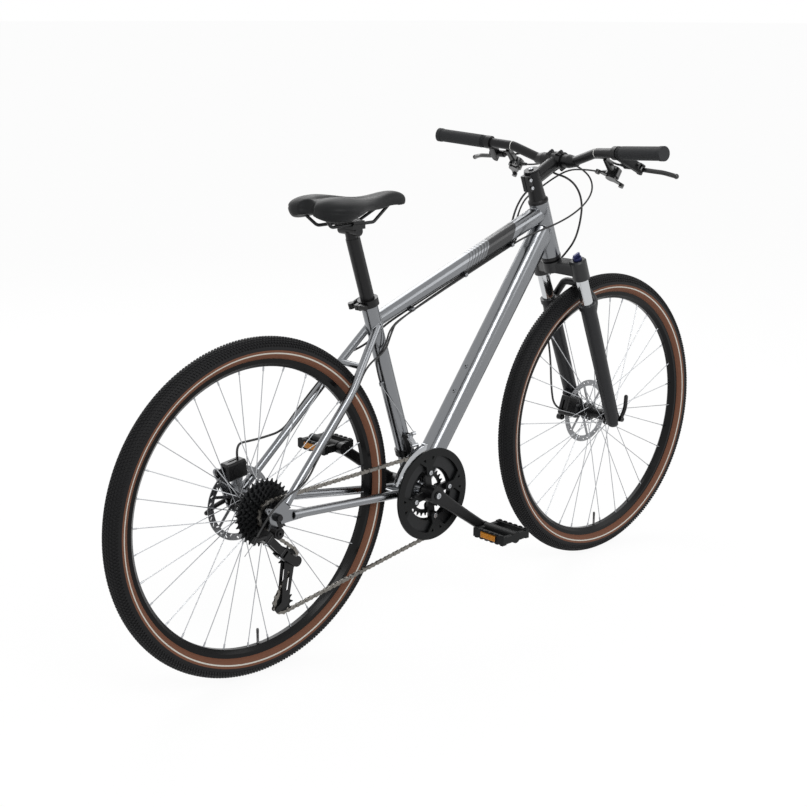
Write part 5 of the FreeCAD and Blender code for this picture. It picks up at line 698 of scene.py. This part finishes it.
def remeshed(name, source, size, rounds):
    """A smooth skin of even faces over a CAD node's solid."""
    holder = shown(name + "_solid", source.data.copy())
    weld = holder.modifiers.new("weld", "WELD")
    weld.merge_threshold = 0.0001
    skin = holder.modifiers.new("skin", "REMESH")
    skin.mode, skin.voxel_size = "VOXEL", size
    soft = holder.modifiers.new("soft", "SMOOTH")
    soft.factor, soft.iterations = 0.5, rounds
    return finished(holder)


def rise(value, start, end):
    """Nought at the start, one at the end, straight between them and level beyond."""
    return np.clip((value - start) / (end - start), 0, 1)


def bell(distance, width):
    """One at no distance, falling smoothly over the width."""
    return np.exp(-((distance / width) ** 2))


class BIKE_OT_saddle(bpy.types.Operator):
    """Makes the saddle's padded vinyl cover"""

    bl_idname = "bike.saddle"
    bl_label = "Saddle"

    def execute(self, context):
        mesh = remeshed("saddle_cover", nodes["saddle"], size=0.0024, rounds=10)
        spots, ways = np.empty((2, len(mesh.vertices) * 3))
        mesh.vertices.foreach_get("co", spots)
        mesh.vertex_normals.foreach_get("vector", ways)
        spots, ways = spots.reshape(-1, 3), ways.reshape(-1, 3)
        # Places along are from the saddle's back, in metres
        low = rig.box("saddle")[0]
        along, y = spots[:, 0] - low.x, spots[:, 1]
        upper = np.clip(ways[:, 2], 0, 1)
        # A shallow channel down the middle of the seat, and swelling lobes beside it
        channel_depth, channel_width = 0.0045, 0.010
        sink = channel_depth * bell(y, channel_width) * rise(along, 0.008, 0.038) * rise(along, 0.20, 0.12)
        lobe_height, lobe_side, lobe_width = 0.0022, 0.040, 0.020
        swell = lobe_height * bell(np.abs(y) - lobe_side, lobe_width) * rise(along, 0.12, 0.06)
        spots[:, 2] += (swell - sink) * upper
        # The seam between the top cover and the side: a narrow valley that dips along the wing
        seam_height, wing_rise, nose_drop = 0.0150, 0.010, 0.006
        seam_depth, seam_width = 0.0014, 0.0018
        line = low.z + seam_height + wing_rise * rise(along, 0.14, 0) - nose_drop * rise(along, 0, 0.27)
        valley = seam_depth * bell(spots[:, 2] - line, seam_width) * (1 - upper)
        spots -= ways * valley[:, None]
        mesh.vertices.foreach_set("co", spots.ravel())
        mesh.materials.clear()
        mesh.materials.append(bpy.data.materials["vinyl"])
        mesh.polygons.foreach_set("use_smooth", [True] * len(mesh.polygons))
        mesh.polygons.foreach_set("material_index", [0] * len(mesh.polygons))
        mesh.update()
        cover = shown("saddle_cover", mesh)
        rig.ride(cover, "seat")
        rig.replaces(cover, "saddle")
        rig.slot(cover, "saddle cover")
        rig.padded(cover, 0.9)
        return {"FINISHED"}


# Routes of the cables and hoses, as the part's source lays them
frame_routes = {
    "front_shift_housing": [
        (0.208, -0.015, 0.830), (-0.146, -0.015, 0.708), (-0.197, -0.027, 0.687), (-0.211, -0.031, 0.657),
        (-0.226, -0.016, 0.626), (-0.214, -0.006, 0.594), (-0.203, -0.004, 0.568)],
    "rear_shift_housing": [
        (0.208, -0.008, 0.830), (-0.155, -0.008, 0.705), (-0.190, -0.022, 0.672), (-0.210, -0.028, 0.641),
        (-0.267, -0.032, 0.620), (-0.310, -0.046, 0.572), (-0.371, -0.054, 0.511), (-0.425, -0.060, 0.459),
        (-0.474, -0.077, 0.415), (-0.523, -0.086, 0.406), (-0.570, -0.091, 0.387), (-0.601, -0.086, 0.346),
        (-0.611, -0.086, 0.333)],
    "rear_brake_hose": [
        (0.208, -0.001, 0.830), (-0.159, -0.001, 0.704), (-0.192, 0.017, 0.674), (-0.211, 0.031, 0.647),
        (-0.276, 0.043, 0.628), (-0.319, 0.062, 0.579), (-0.380, 0.070, 0.519), (-0.415, 0.070, 0.484),
        (-0.468, 0.071, 0.479), (-0.510, 0.062, 0.482), (-0.554, 0.052, 0.486), (-0.550, 0.052, 0.454)],
}
loop_routes = {
    "front_shift_loop": [
        (0.386, 0.117, 0.988), (0.386, 0.101, 0.988), (0.394, 0.062, 0.995), (0.421, 0.002, 0.997),
        (0.433, -0.040, 0.973), (0.424, -0.062, 0.943), (0.392, -0.071, 0.914), (0.345, -0.070, 0.889),
        (0.298, -0.060, 0.870), (0.254, -0.042, 0.855), (0.223, -0.015, 0.836), (0.208, -0.015, 0.830)],
    "rear_shift_loop": [
        (0.386, -0.117, 0.988), (0.386, -0.101, 0.988), (0.396, -0.062, 0.988), (0.402, -0.005, 0.984),
        (0.390, 0.032, 0.962), (0.366, 0.052, 0.939), (0.326, 0.058, 0.921), (0.290, 0.046, 0.900),
        (0.263, 0.034, 0.871), (0.246, 0.026, 0.845), (0.223, -0.008, 0.836), (0.208, -0.008, 0.830)],
    "rear_brake_loop": [
        (0.382, -0.174, 1.008), (0.382, -0.158, 1.008), (0.396, -0.118, 1.020), (0.406, -0.058, 1.014),
        (0.416, 0.000, 1.003), (0.408, 0.044, 0.979), (0.384, 0.066, 0.951), (0.338, 0.072, 0.931),
        (0.294, 0.058, 0.907), (0.262, 0.045, 0.875), (0.245, 0.035, 0.843), (0.223, -0.001, 0.836),
        (0.208, -0.001, 0.830)],
}
front_hose_route = [
    (0.382, 0.174, 1.008), (0.382, 0.158, 1.008), (0.394, 0.118, 1.018), (0.388, 0.066, 0.998),
    (0.366, 0.018, 0.976), (0.374, -0.022, 0.969), (0.396, -0.037, 0.945), (0.412, -0.040, 0.907),
    (0.413, -0.035, 0.862), (0.409, -0.024, 0.817), (0.408, 0.004, 0.782), (0.424, 0.046, 0.751),
    (0.430, 0.078, 0.713), (0.427, 0.088, 0.656), (0.443, 0.086, 0.575), (0.440, 0.069, 0.508),
    (0.412, 0.040, 0.440), (0.425, 0.040, 0.390), (0.455, 0.040, 0.379)]
# Bare wires from the housings' ends to the derailleurs
wire_routes = {
    "front_shift_wire": [(-0.2030, -0.004, 0.5680), (-0.2002, -0.004, 0.5591), (-0.140, -0.042, 0.4524)],
    "rear_shift_wire": [(-0.6110, -0.086, 0.3330), (-0.6201, -0.086, 0.3213), (-0.634, -0.076, 0.297)],
}
wire_radius = 0.0008


def spline_line(points):
    """Points along the route's own NURBS spline."""
    curve = bpy.data.curves.new("route", "CURVE")
    curve.dimensions = "3D"
    curve.resolution_u = 10
    spline = curve.splines.new("NURBS")
    spline.points.add(len(points) - 1)
    for spot, point in zip(spline.points, points):
        spot.co = (*point, 1)
    spline.order_u = 3
    spline.use_endpoint_u = True
    mesh = finished(shown("route", curve))
    line = [v.co.copy() for v in mesh.vertices]
    bpy.data.curves.remove(curve)
    bpy.data.meshes.remove(mesh)
    return line


def tube(name, line, radius, finish, sides=12):
    """A round tube along a line of points, with closed ends."""
    line = [Vector(p) for p in line]
    points = []
    side = None
    for i, spot in enumerate(line):
        way = (line[min(i + 1, len(line) - 1)] - line[max(i - 1, 0)]).normalized()
        side = side or way.orthogonal()
        side = (side - way * side.dot(way)).normalized()
        other = way.cross(side)
        for k in range(sides):
            a = 2 * math.pi * k / sides
            points.append(spot + side * (radius * math.cos(a)) + other * (radius * math.sin(a)))
    return piece(name, points, ring_faces(len(line), sides), [finish])


def run_length(line):
    """The length along a line of points."""
    return sum((b - a).length for a, b in zip(line, line[1:]))


class BIKE_OT_cables(bpy.types.Operator):
    """Makes the cable housings and brake hoses"""

    bl_idname = "bike.cables"
    bl_label = "Cables"

    def execute(self, context):
        sizes = context.scene.bike_sizes
        for name, route in frame_routes.items():
            radius = sizes.hose_radius if "hose" in name else sizes.housing_radius
            made = tube(name, spline_line(route), radius, "cable jacket")
            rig.ride(made, "frame")
            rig.slot(made, "cable jacket")
            if name == "front_shift_housing":
                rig.replaces(made, "frame_cables")
        for name, route in wire_routes.items():
            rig.ride(tube(name, route, wire_radius, "stainless steel", sides=8), "frame")
        for name, route in loop_routes.items():
            line = spline_line(route)
            radius = sizes.hose_radius if "brake" in name else sizes.housing_radius
            made = tube(name, line, radius, "cable jacket")
            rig.blend(made, "frame", "steering", (0.215, 0, 0.832), (0.385, 0, 0.985))
            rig.slot(made, "cable jacket")
            if name == "front_shift_loop":
                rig.replaces(made, "control_cable_loops")
            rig.cord(made, route[0], run_length(line), 2 * radius, "object", "stiff", "loose", path=line)
        line = spline_line(front_hose_route)
        made = tube("front_hose", line, sizes.hose_radius, "cable jacket")
        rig.blend(made, "steering", "lowers", (0.409, -0.02, 0.82), (0.443, 0.086, 0.56))
        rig.slot(made, "cable jacket")
        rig.replaces(made, "front_brake_hose")
        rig.cord(made, front_hose_route[0], run_length(line), 2 * sizes.hose_radius, "object", "stiff",
                "loose", path=line)
        return {"FINISHED"}


def solids_of(node):
    """The separate solids of a CAD node, each as its points and faces."""
    work = bmesh.new()
    work.from_mesh(nodes[node].data)
    bmesh.ops.remove_doubles(work, verts=work.verts, dist=1e-6)
    left = set(work.verts)
    for start in work.verts:
        if start not in left:
            continue
        left.remove(start)
        island, edge = set(), [start]
        while edge:
            vertex = edge.pop()
            island.add(vertex)
            for near in (e.other_vert(vertex) for e in vertex.link_edges):
                if near in left:
                    left.remove(near)
                    edge.append(near)
        order = sorted(island, key=lambda v: v.index)
        number = {v: i for i, v in enumerate(order)}
        faces = sorted({f for v in order for f in v.link_faces}, key=lambda f: f.index)
        yield [v.co.copy() for v in order], [[number[v] for v in f.verts] for f in faces]
    work.free()


# Where the chain leaves the ring and the cog, from their centres, in metres
ring_foot = shell + Vector((0.01, 0, -0.097))
cog_foot = rear_axle + Vector((0.008, 0, -0.030))
# Links within a reach of the line between the pulleys lie in the cage; the lower run is under a
# height; the drop is behind a place, under the axle's height less a gap, and clear of the cog
cage_reach = 0.028
lower_run_top = 0.22
drop_front, drop_gap, cog_reach = -0.45, 0.02, 0.034


class BIKE_OT_chain(bpy.types.Operator):
    """Parts the chain's links into lengths that follow the rear derailleur"""

    bl_idname = "bike.chain"
    bl_label = "Chain"

    def execute(self, context):
        guide, tension, pivot, level = (Vector(joints[name]["pos_m"]) for name in (
            "guide_pulley_spin", "tension_pulley_spin", "rear_shift_swing", "rear_shift_level"))
        swing = Vector(joints["rear_shift_swing"]["axis"])
        middle = (tension + ring_foot) / 2
        down = (tension - guide).normalized()
        lengths = {name: [] for name in (
            "chain_rings", "chain_drop", "chain_cage", "chain_lower_rear", "chain_lower_front")}
        for points, faces in solids_of("chain"):
            spot = sum(points, Vector()) / len(points)
            spot.y = 0
            lengths[self.length_at(spot, guide, tension, middle)].append((points, faces))
        for name, links in lengths.items():
            points, faces = [], []
            for link_points, link_faces in links:
                faces += [[i + len(points) for i in f] for f in link_faces]
                points += link_points
            made = piece(name, points, faces, ["oiled chain steel"], smooth=False)
            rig.slot(made, "steel")
            if name == "chain_rings":
                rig.ride(made, "frame")
                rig.replaces(made, "chain")
            elif name == "chain_cage":
                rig.blend(made, "rd_mover", "rd_cage", guide - down * 0.024, guide + down * 0.030)
            elif name == "chain_lower_rear":
                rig.blend(made, "rd_mover", "rd_cage", middle, tension)
            else:
                first, last = (cog_foot, guide) if name == "chain_drop" else (ring_foot, middle)
                # The link turns further than the run's end should go, so the end takes a share of
                # its turn, and the part along the blend is where its smooth weight has that share
                share = swing.cross(level - pivot).y / swing.cross(last - pivot).y
                part = 0.5 - math.sin(math.asin(1 - 2 * share) / 3)
                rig.blend(made, "frame", "rd_outer_link", first, first + (last - first) / part)
        return {"FINISHED"}

    def length_at(self, spot, guide, tension, middle):
        """The name of the length that a link belongs to, by its place in the bike's plane."""
        along = (spot - guide).dot(tension - guide) / (tension - guide).length_squared
        beside = (spot - guide.lerp(tension, min(max(along, 0), 1))).length
        if beside < cage_reach:
            return "chain_cage"
        if spot.x < shell.x and spot.z < lower_run_top:
            return "chain_lower_rear" if spot.x < middle.x else "chain_lower_front"
        under_cog = spot.z < rear_axle.z - drop_gap and (spot - rear_axle).length > cog_reach
        return "chain_drop" if spot.x < drop_front and under_cog else "chain_rings"


def meeting_line(start, line, up, half_width, half_height, post, post_line, post_radius, count):
    """Where an oval tube, followed along its line, meets a round post. Each row is a
    point and the way out of the corner between them."""
    line, n = Vector(line).normalized(), Vector(post_line).normalized()
    up = Vector(up).normalized()
    side = line.cross(up)
    lean_back = 0.7
    rows = []
    for i in range(count):
        a = 2 * math.pi * i / count
        out = side * (half_width * math.cos(a)) + up * (half_height * math.sin(a))
        q = Vector(start) + out - Vector(post)
        q -= n * q.dot(n)
        d = line - n * line.dot(n)
        b, c = q.dot(d), q.length_squared - post_radius**2
        inside = max(b * b - d.length_squared * c, 0.0)
        t = (-b - math.sqrt(inside)) / d.length_squared
        rows.append((Vector(start) + out + line * t, (out.normalized() - line * lean_back).normalized()))
    return rows


# Half widths and heights of the tubes at their welds, and the radii of what they meet, in metres
head_radius, seat_radius, shell_radius, stay_radius = 0.0231, 0.0181, 0.0211, 0.0082
top_front, top_rear = (0.0188, 0.0198), (0.0142, 0.0148)
down_front, down_rear = (0.0225, 0.0280), (0.0266, 0.0233)
# A seatstay's upper end and its bend, on the left side
stay_top, stay_bend = (-0.2177, 0.012, 0.6951), (-0.324, 0.048, 0.573)
# A ripple's size as shares of the pitch and the width, and the chance in it
ripple_length, ripple_width, ripple_height, ripple_chance = 0.95, 0.5, 0.27, 0.12


class BIKE_OT_welds(bpy.types.Operator):
    """Lays rippled weld beads round the frame's joints"""

    bl_idname = "bike.welds"
    bl_label = "Welds"

    def execute(self, context):
        sizes = context.scene.bike_sizes
        top_up = Vector((-top_line.z, 0, top_line.x))
        down_up = Vector((-down_line.z, 0, down_line.x))
        seat_up = Vector((seat_line.z, 0, -seat_line.x))
        # What the tubes meet: a place on its axis, the axis and its radius
        head = (steer_point, steer_line, head_radius)
        seat = (shell, seat_line, seat_radius)
        bracket = (shell, across, shell_radius)
        # Each tube from a place inside its own length: way, up, half width and height, what it meets
        tubes = [
            (top_start + top_line * 0.45, top_line, top_up, *top_front, *head),
            (top_start + top_line * 0.12, -top_line, top_up, *top_rear, *seat),
            (shell + down_line * 0.58, down_line, down_up, *down_front, *head),
            (shell + down_line * 0.12, -down_line, down_up, *down_rear, *bracket),
            (shell + seat_line * 0.10, -seat_line, seat_up, seat_radius, seat_radius, *bracket),
        ]
        for side in (-1, 1):
            top, bend = (Vector((x, y * side, z)) for x, y, z in (stay_top, stay_bend))
            way = (top - bend).normalized()
            tubes.append((top - way * 0.07, way, way.orthogonal(), stay_radius, stay_radius, *seat))
        size = (sizes.weld_pitch * ripple_length, sizes.weld_width * ripple_width,
                sizes.weld_width * ripple_height)
        places = []
        for row in tubes:
            rows = meeting_line(*row, count=360)
            gone = 0.0
            for (spot, out), (after, _) in zip(rows, rows[1:] + rows[:1]):
                step = after - spot
                gone += step.length
                if step.length > 1e-7 and gone >= sizes.weld_pitch:
                    gone -= sizes.weld_pitch
                    places.append((spot, out, step, size))
        made = copies("weld_beads", self.ripple(), places, "brushed aluminium", ripple_chance)
        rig.ride(made, "frame")
        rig.slot(made, "bare aluminium")
        return {"FINISHED"}

    def ripple(self):
        """One ripple of a bead: rings of radius and height, each half a step on from the last."""
        sides = 8
        rings = ((0.5, -0.85), (0.95, -0.35), (0.95, 0.3), (0.55, 0.8))
        points = []
        for i, (r, z) in enumerate(rings):
            for k in range(sides):
                a = 2 * math.pi * (k + 0.5 * i) / sides
                points.append((r * math.cos(a), r * math.sin(a), z))
        return points, ring_faces(len(rings), sides), True


# Places and ways of bolts, in metres and degrees, as the part's source has them; pairs are given
# on the left
stem_bolts = ((0.2624, -0.0150, 0.9510), (0.2556, -0.0150, 0.9691))
face_plate = Vector((0.3617, 0, 1.0077))
stem_way, stem_up = Vector((0.8988, 0, 0.4384)), Vector((-0.4384, 0, 0.8988))
face_bolt_side, face_bolt_rise = 0.014, 0.0189
top_cap = steer_point + steer_line * 0.15
lever_way = Vector((0.5615, 0, 0.8275))
lever_clamp, shifter_clamp = (0.3940, 0.222, 1.0004), (0.3863, 0.150, 0.9882)
crank_angle, ring_bolt_radius = -36.7, 0.052


class BIKE_OT_bolts(bpy.types.Operator):
    """Sets socket head bolts where the bike is screwed together"""

    bl_idname = "bike.bolts"
    bl_label = "Bolts"

    def execute(self, context):
        # From the socket's floor over the rim and down the head's side: radius, height
        head = [(0.45, 0.3), (0.5, 0.3), (0.55, 1.0), (0.88, 1.0), (1.0, 0.85), (1.0, -0.2)]
        points, faces = lathe(head, around=12)
        shape = (points, [f[::-1] for f in faces], False)
        view = context.evaluated_depsgraph_get()
        groups = {}

        def bolt(body, node, spot, way, radius, height, reach=0.03):
            """A head on the first face of the node that is met on the way in to the spot."""
            way = Vector(way).normalized()
            met, seat, _, _ = nodes[node].ray_cast(Vector(spot) + way * reach, -way, depsgraph=view)
            if not met:
                raise RuntimeError(f"no seat for a bolt on {node}")
            groups.setdefault(body, []).append((seat, way, way.orthogonal(), (radius, radius, height)))

        for spot in stem_bolts:
            bolt("steering", "stem", spot, -across, radius=0.0042, height=0.0015)
        for side in (-1, 1):
            for end in (-1, 1):
                spot = face_plate + across * (side * face_bolt_side) + stem_up * (end * face_bolt_rise)
                bolt("steering", "stem", spot, stem_way, radius=0.0040, height=0.0016)
        bolt("steering", "stem", top_cap, steer_line, radius=0.0048, height=0.0012)
        for side in (-1, 1):
            lever, shifter = ((x, y * side, z) for x, y, z in (lever_clamp, shifter_clamp))
            bolt("steering", "brake_master_cylinders", lever, lever_way, radius=0.0034, height=0.0022)
            bolt("steering", "shifter_housings", shifter, -lever_way, radius=0.0046, height=0.0022)
            bolt("crank", "crank_spindle", shell, across * side, radius=0.0068, height=0.0020, reach=0.2)
        for j in range(4):
            a = math.radians(crank_angle + 45 + 90 * j)
            spot = shell + Vector((math.cos(a), 0, math.sin(a))) * ring_bolt_radius
            bolt("crank", "chainrings", spot, -across, radius=0.0052, height=0.0016, reach=0.1)
        pivot_way = Vector(joints["rear_shift_swing"]["axis"])
        for body, node, joint in (("frame", "rear_derailleur_knuckle", "rear_shift_swing"),
                                  ("rd_mover", "rd_mover", "rear_shift_level")):
            bolt(body, node, joints[joint]["pos_m"], -pivot_way, radius=0.0042, height=0.0020)
        for body, places in groups.items():
            made = copies(body + "_bolts", shape, places, "stainless steel")
            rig.ride(made, body)
            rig.slot(made, "steel")
        return {"FINISHED"}


# The bar's axis outside its bends: its place in the middle plane, and its way back and up per metre
bar_start, bar_sweep, bar_rise = (0.36901, 1.02471), 0.15838, 0.06993
# The bar's ring marks: distance from the middle plane, and section as radius and height
mark_side = 0.130
mark_profile = [(0.0113, -0.0007), (0.0115, -0.0005), (0.0115, 0.0005), (0.0113, 0.0007)]
# Pedals: side, place along and height of each; the reflectors' places from the middle plane and
# from a pedal's centre, and a reflector's size with the rim round its pyramids
pedal_eyes = {"left": (1, -0.2341, 0.4046), "right": (-1, 0.0385, 0.2014)}
pedal_side, pedal_half = 0.145, 0.0415
lens_width, lens_height, lens_depth = 0.046, 0.0135, 0.004
rim_wide, rim_tall, lens_chamfer = 0.004, 0.003, 0.0008


def bar_point(y, side):
    """A point of the bar's axis at a distance from the middle plane."""
    return Vector((bar_start[0] - bar_sweep * y, side * y, bar_start[1] + bar_rise * y))


class BIKE_OT_trim(bpy.types.Operator):
    """Adds the bar's ring marks and the pedals' reflectors"""

    bl_idname = "bike.trim"
    bl_label = "Trim"

    def execute(self, context):
        for name, side in (("left", 1), ("right", -1)):
            spot = bar_point(mark_side, side)
            way = bar_point(mark_side + 0.010, side) - spot
            points, faces = lathe(mark_profile, around=32)
            ring = piece(name + "_bar_mark", placed(points, spot, way, (0, 0, 1)), faces, ["white ink"])
            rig.ride(ring, "steering")
        points, faces = self.lens(lens_width, lens_height, lens_depth)
        for name, (side, along, up) in pedal_eyes.items():
            for end in (-1, 1):
                spot = (along + end * pedal_half, side * pedal_side, up)
                lens = piece(f"{name}_reflector_{'front' if end > 0 else 'rear'}",
                             placed(points, spot, (end, 0, 0), across), faces, ["amber reflector"],
                             smooth=False)
                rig.ride(lens, name + "_pedal")
        return {"FINISHED"}

    def lens(self, width, height, depth):
        """A reflector: a chamfered block whose face is a grid of small pyramids."""
        front = 0.8 * depth
        points = []
        for inset, z in ((0.0, -0.5 * depth), (0.0, 0.5 * depth), (lens_chamfer, front)):
            x, y = width / 2 - inset, height / 2 - inset
            points += [(-x, -y, z), (x, -y, z), (x, y, z), (-x, y, z)]
        faces = ring_faces(3, 4)
        columns, lines = 14, 4
        wide, tall = (width - rim_wide) / columns, (height - rim_tall) / lines
        for i in range(columns):
            for j in range(lines):
                x, y = (i - columns / 2) * wide, (j - lines / 2) * tall
                first = len(points)
                points += [(x, y, front), (x + wide, y, front), (x + wide, y + tall, front),
                           (x, y + tall, front), (x + wide / 2, y + tall / 2, depth)]
                faces += [(first + k, first + (k + 1) % 4, first + 4) for k in range(4)]
                faces.append((first + 3, first + 2, first + 1, first))
        return np.array(points), faces


# The photograph's camera: focal length in its pixels, place in metres, direction in degrees, and
# the width of Blender's sensor in millimetres
photo_width, focal_pixels = 807, 1478.38
camera_place = (-2.29869, -2.29477, 1.34013)
camera_azimuth, camera_elevation, camera_roll = -43.38, 14.80, 0.17
sensor_width = 36
# Soft lights: place and width in metres, power in watts; all point at a place over the floor
lamps = {
    "key": ((-1.6, -3.2, 3.4), 2.2, 90),
    "fill": ((2.6, -2.6, 1.8), 2.5, 30),
    "back": ((1.2, 2.8, 3.0), 2.5, 55),
}
lit_point = Vector((0, 0, 0.5))
# The background's strength for the light it gives and where it shows, and the floor's own glow there
room_level, white_level, floor_glow = 0.7, 1.0, 0.92


def pale_rays(tree):
    """One for the rays that show the white background: seen, mirrored or through glass."""
    path = add(tree, "ShaderNodeLightPath").outputs
    most = path["Is Camera Ray"]
    for name in ("Is Glossy Ray", "Is Transmission Ray"):
        most = add(tree, "ShaderNodeMath", {0: most, 1: path[name]}, operation="MAXIMUM").outputs[0]
    return most


class BIKE_OT_stage(bpy.types.Operator):
    """Sets the floor, the soft lights and the camera"""

    bl_idname = "bike.stage"
    bl_label = "Stage"

    def execute(self, context):
        scene = context.scene
        scene.view_settings.view_transform = "Standard"
        self.floor(context)
        world = bpy.data.worlds.new("studio")
        world.use_nodes = True
        scene.world = world
        tree = world.node_tree
        level = add(tree, "ShaderNodeMapRange", {
            "Value": pale_rays(tree), "To Min": room_level, "To Max": white_level})
        feed(tree, tree.nodes["Background"], {"Color": (1, 1, 1, 1), "Strength": level.outputs["Result"]})
        for name, (spot, size, power) in lamps.items():
            light = bpy.data.lights.new(name, "AREA")
            light.size, light.energy = size, power
            lamp = shown(name, light)
            lamp.location = spot
            lamp.rotation_euler = (lit_point - Vector(spot)).to_track_quat("-Z", "Y").to_euler()
            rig.stage(lamp)
        camera = bpy.data.cameras.new("camera")
        camera.lens, camera.sensor_width = sensor_width * focal_pixels / photo_width, sensor_width
        camera.clip_end = 1000
        azimuth, elevation, roll = (
            math.radians(v) for v in (camera_azimuth, camera_elevation, camera_roll))
        back = Vector((math.sin(azimuth) * math.cos(elevation), -math.cos(azimuth) * math.cos(elevation),
                       math.sin(elevation)))
        turn = (-back).to_track_quat("-Z", "Y").to_matrix() @ Matrix.Rotation(roll, 3, "Z")
        scene.camera = shown("camera", camera)
        scene.camera.location = camera_place
        scene.camera.rotation_euler = turn.to_euler()
        return {"FINISHED"}

    def floor(self, context):
        """A wide matte floor that shows as white and keeps a faint shadow."""
        bpy.ops.mesh.primitive_plane_add(size=400, location=(0, 0, 0))
        floor = context.active_object
        floor.name = "floor"
        made, tree, shader = blank("white floor")
        feed(tree, shader, {"Base Color": (0.94, 0.94, 0.94, 1), "Roughness": 0.9, "Specular IOR Level": 0.1})
        glow = add(tree, "ShaderNodeEmission", {"Strength": 1.0})
        share = add(tree, "ShaderNodeMath", {0: pale_rays(tree), 1: floor_glow}, operation="MULTIPLY")
        both = add(tree, "ShaderNodeMixShader", {
            0: share.outputs[0], 1: shader.outputs[0], 2: glow.outputs[0]})
        feed(tree, tree.nodes["Material Output"], {"Surface": both.outputs[0]})
        floor.data.materials.append(made)
        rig.stage(floor)


class BIKE_PT_panel(bpy.types.Panel):
    """The bike's sizes, colours and steps"""

    bl_idname = "BIKE_PT_panel"
    bl_label = "Hybrid bike"
    bl_space_type = "VIEW_3D"
    bl_region_type = "UI"
    bl_category = "Bike"

    def draw(self, context):
        for group in (context.scene.bike_sizes, context.scene.bike_colours):
            box = self.layout.box()
            for name in group.__annotations__:
                box.prop(group, name)
        for step in steps:
            self.layout.operator(step.bl_idname)


steps = (BIKE_OT_materials, BIKE_OT_tyres, BIKE_OT_saddle, BIKE_OT_cables, BIKE_OT_chain, BIKE_OT_welds,
         BIKE_OT_bolts, BIKE_OT_trim, BIKE_OT_stage)
classes = (BikeSizes, BikeColours, *steps, BIKE_PT_panel)


def register():
    for item in classes:
        bpy.utils.register_class(item)
    bpy.types.Scene.bike_sizes = PointerProperty(type=BikeSizes)
    bpy.types.Scene.bike_colours = PointerProperty(type=BikeColours)


def unregister():
    del bpy.types.Scene.bike_colours
    del bpy.types.Scene.bike_sizes
    for item in reversed(classes):
        bpy.utils.unregister_class(item)


def main():
    low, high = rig.bounds()
    register()
    bpy.ops.bike.materials()
    bpy.ops.bike.tyres()
    bpy.ops.bike.saddle()
    bpy.ops.bike.cables()
    bpy.ops.bike.chain()
    bpy.ops.bike.welds()
    bpy.ops.bike.bolts()
    bpy.ops.bike.trim()
    bpy.ops.bike.stage()
    new_low, new_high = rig.bounds()
    with open("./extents.json", "w") as out:
        json.dump({"cad_box": [list(low), list(high)], "box": [list(new_low), list(new_high)]}, out)


if __name__ == "__main__":
    main()
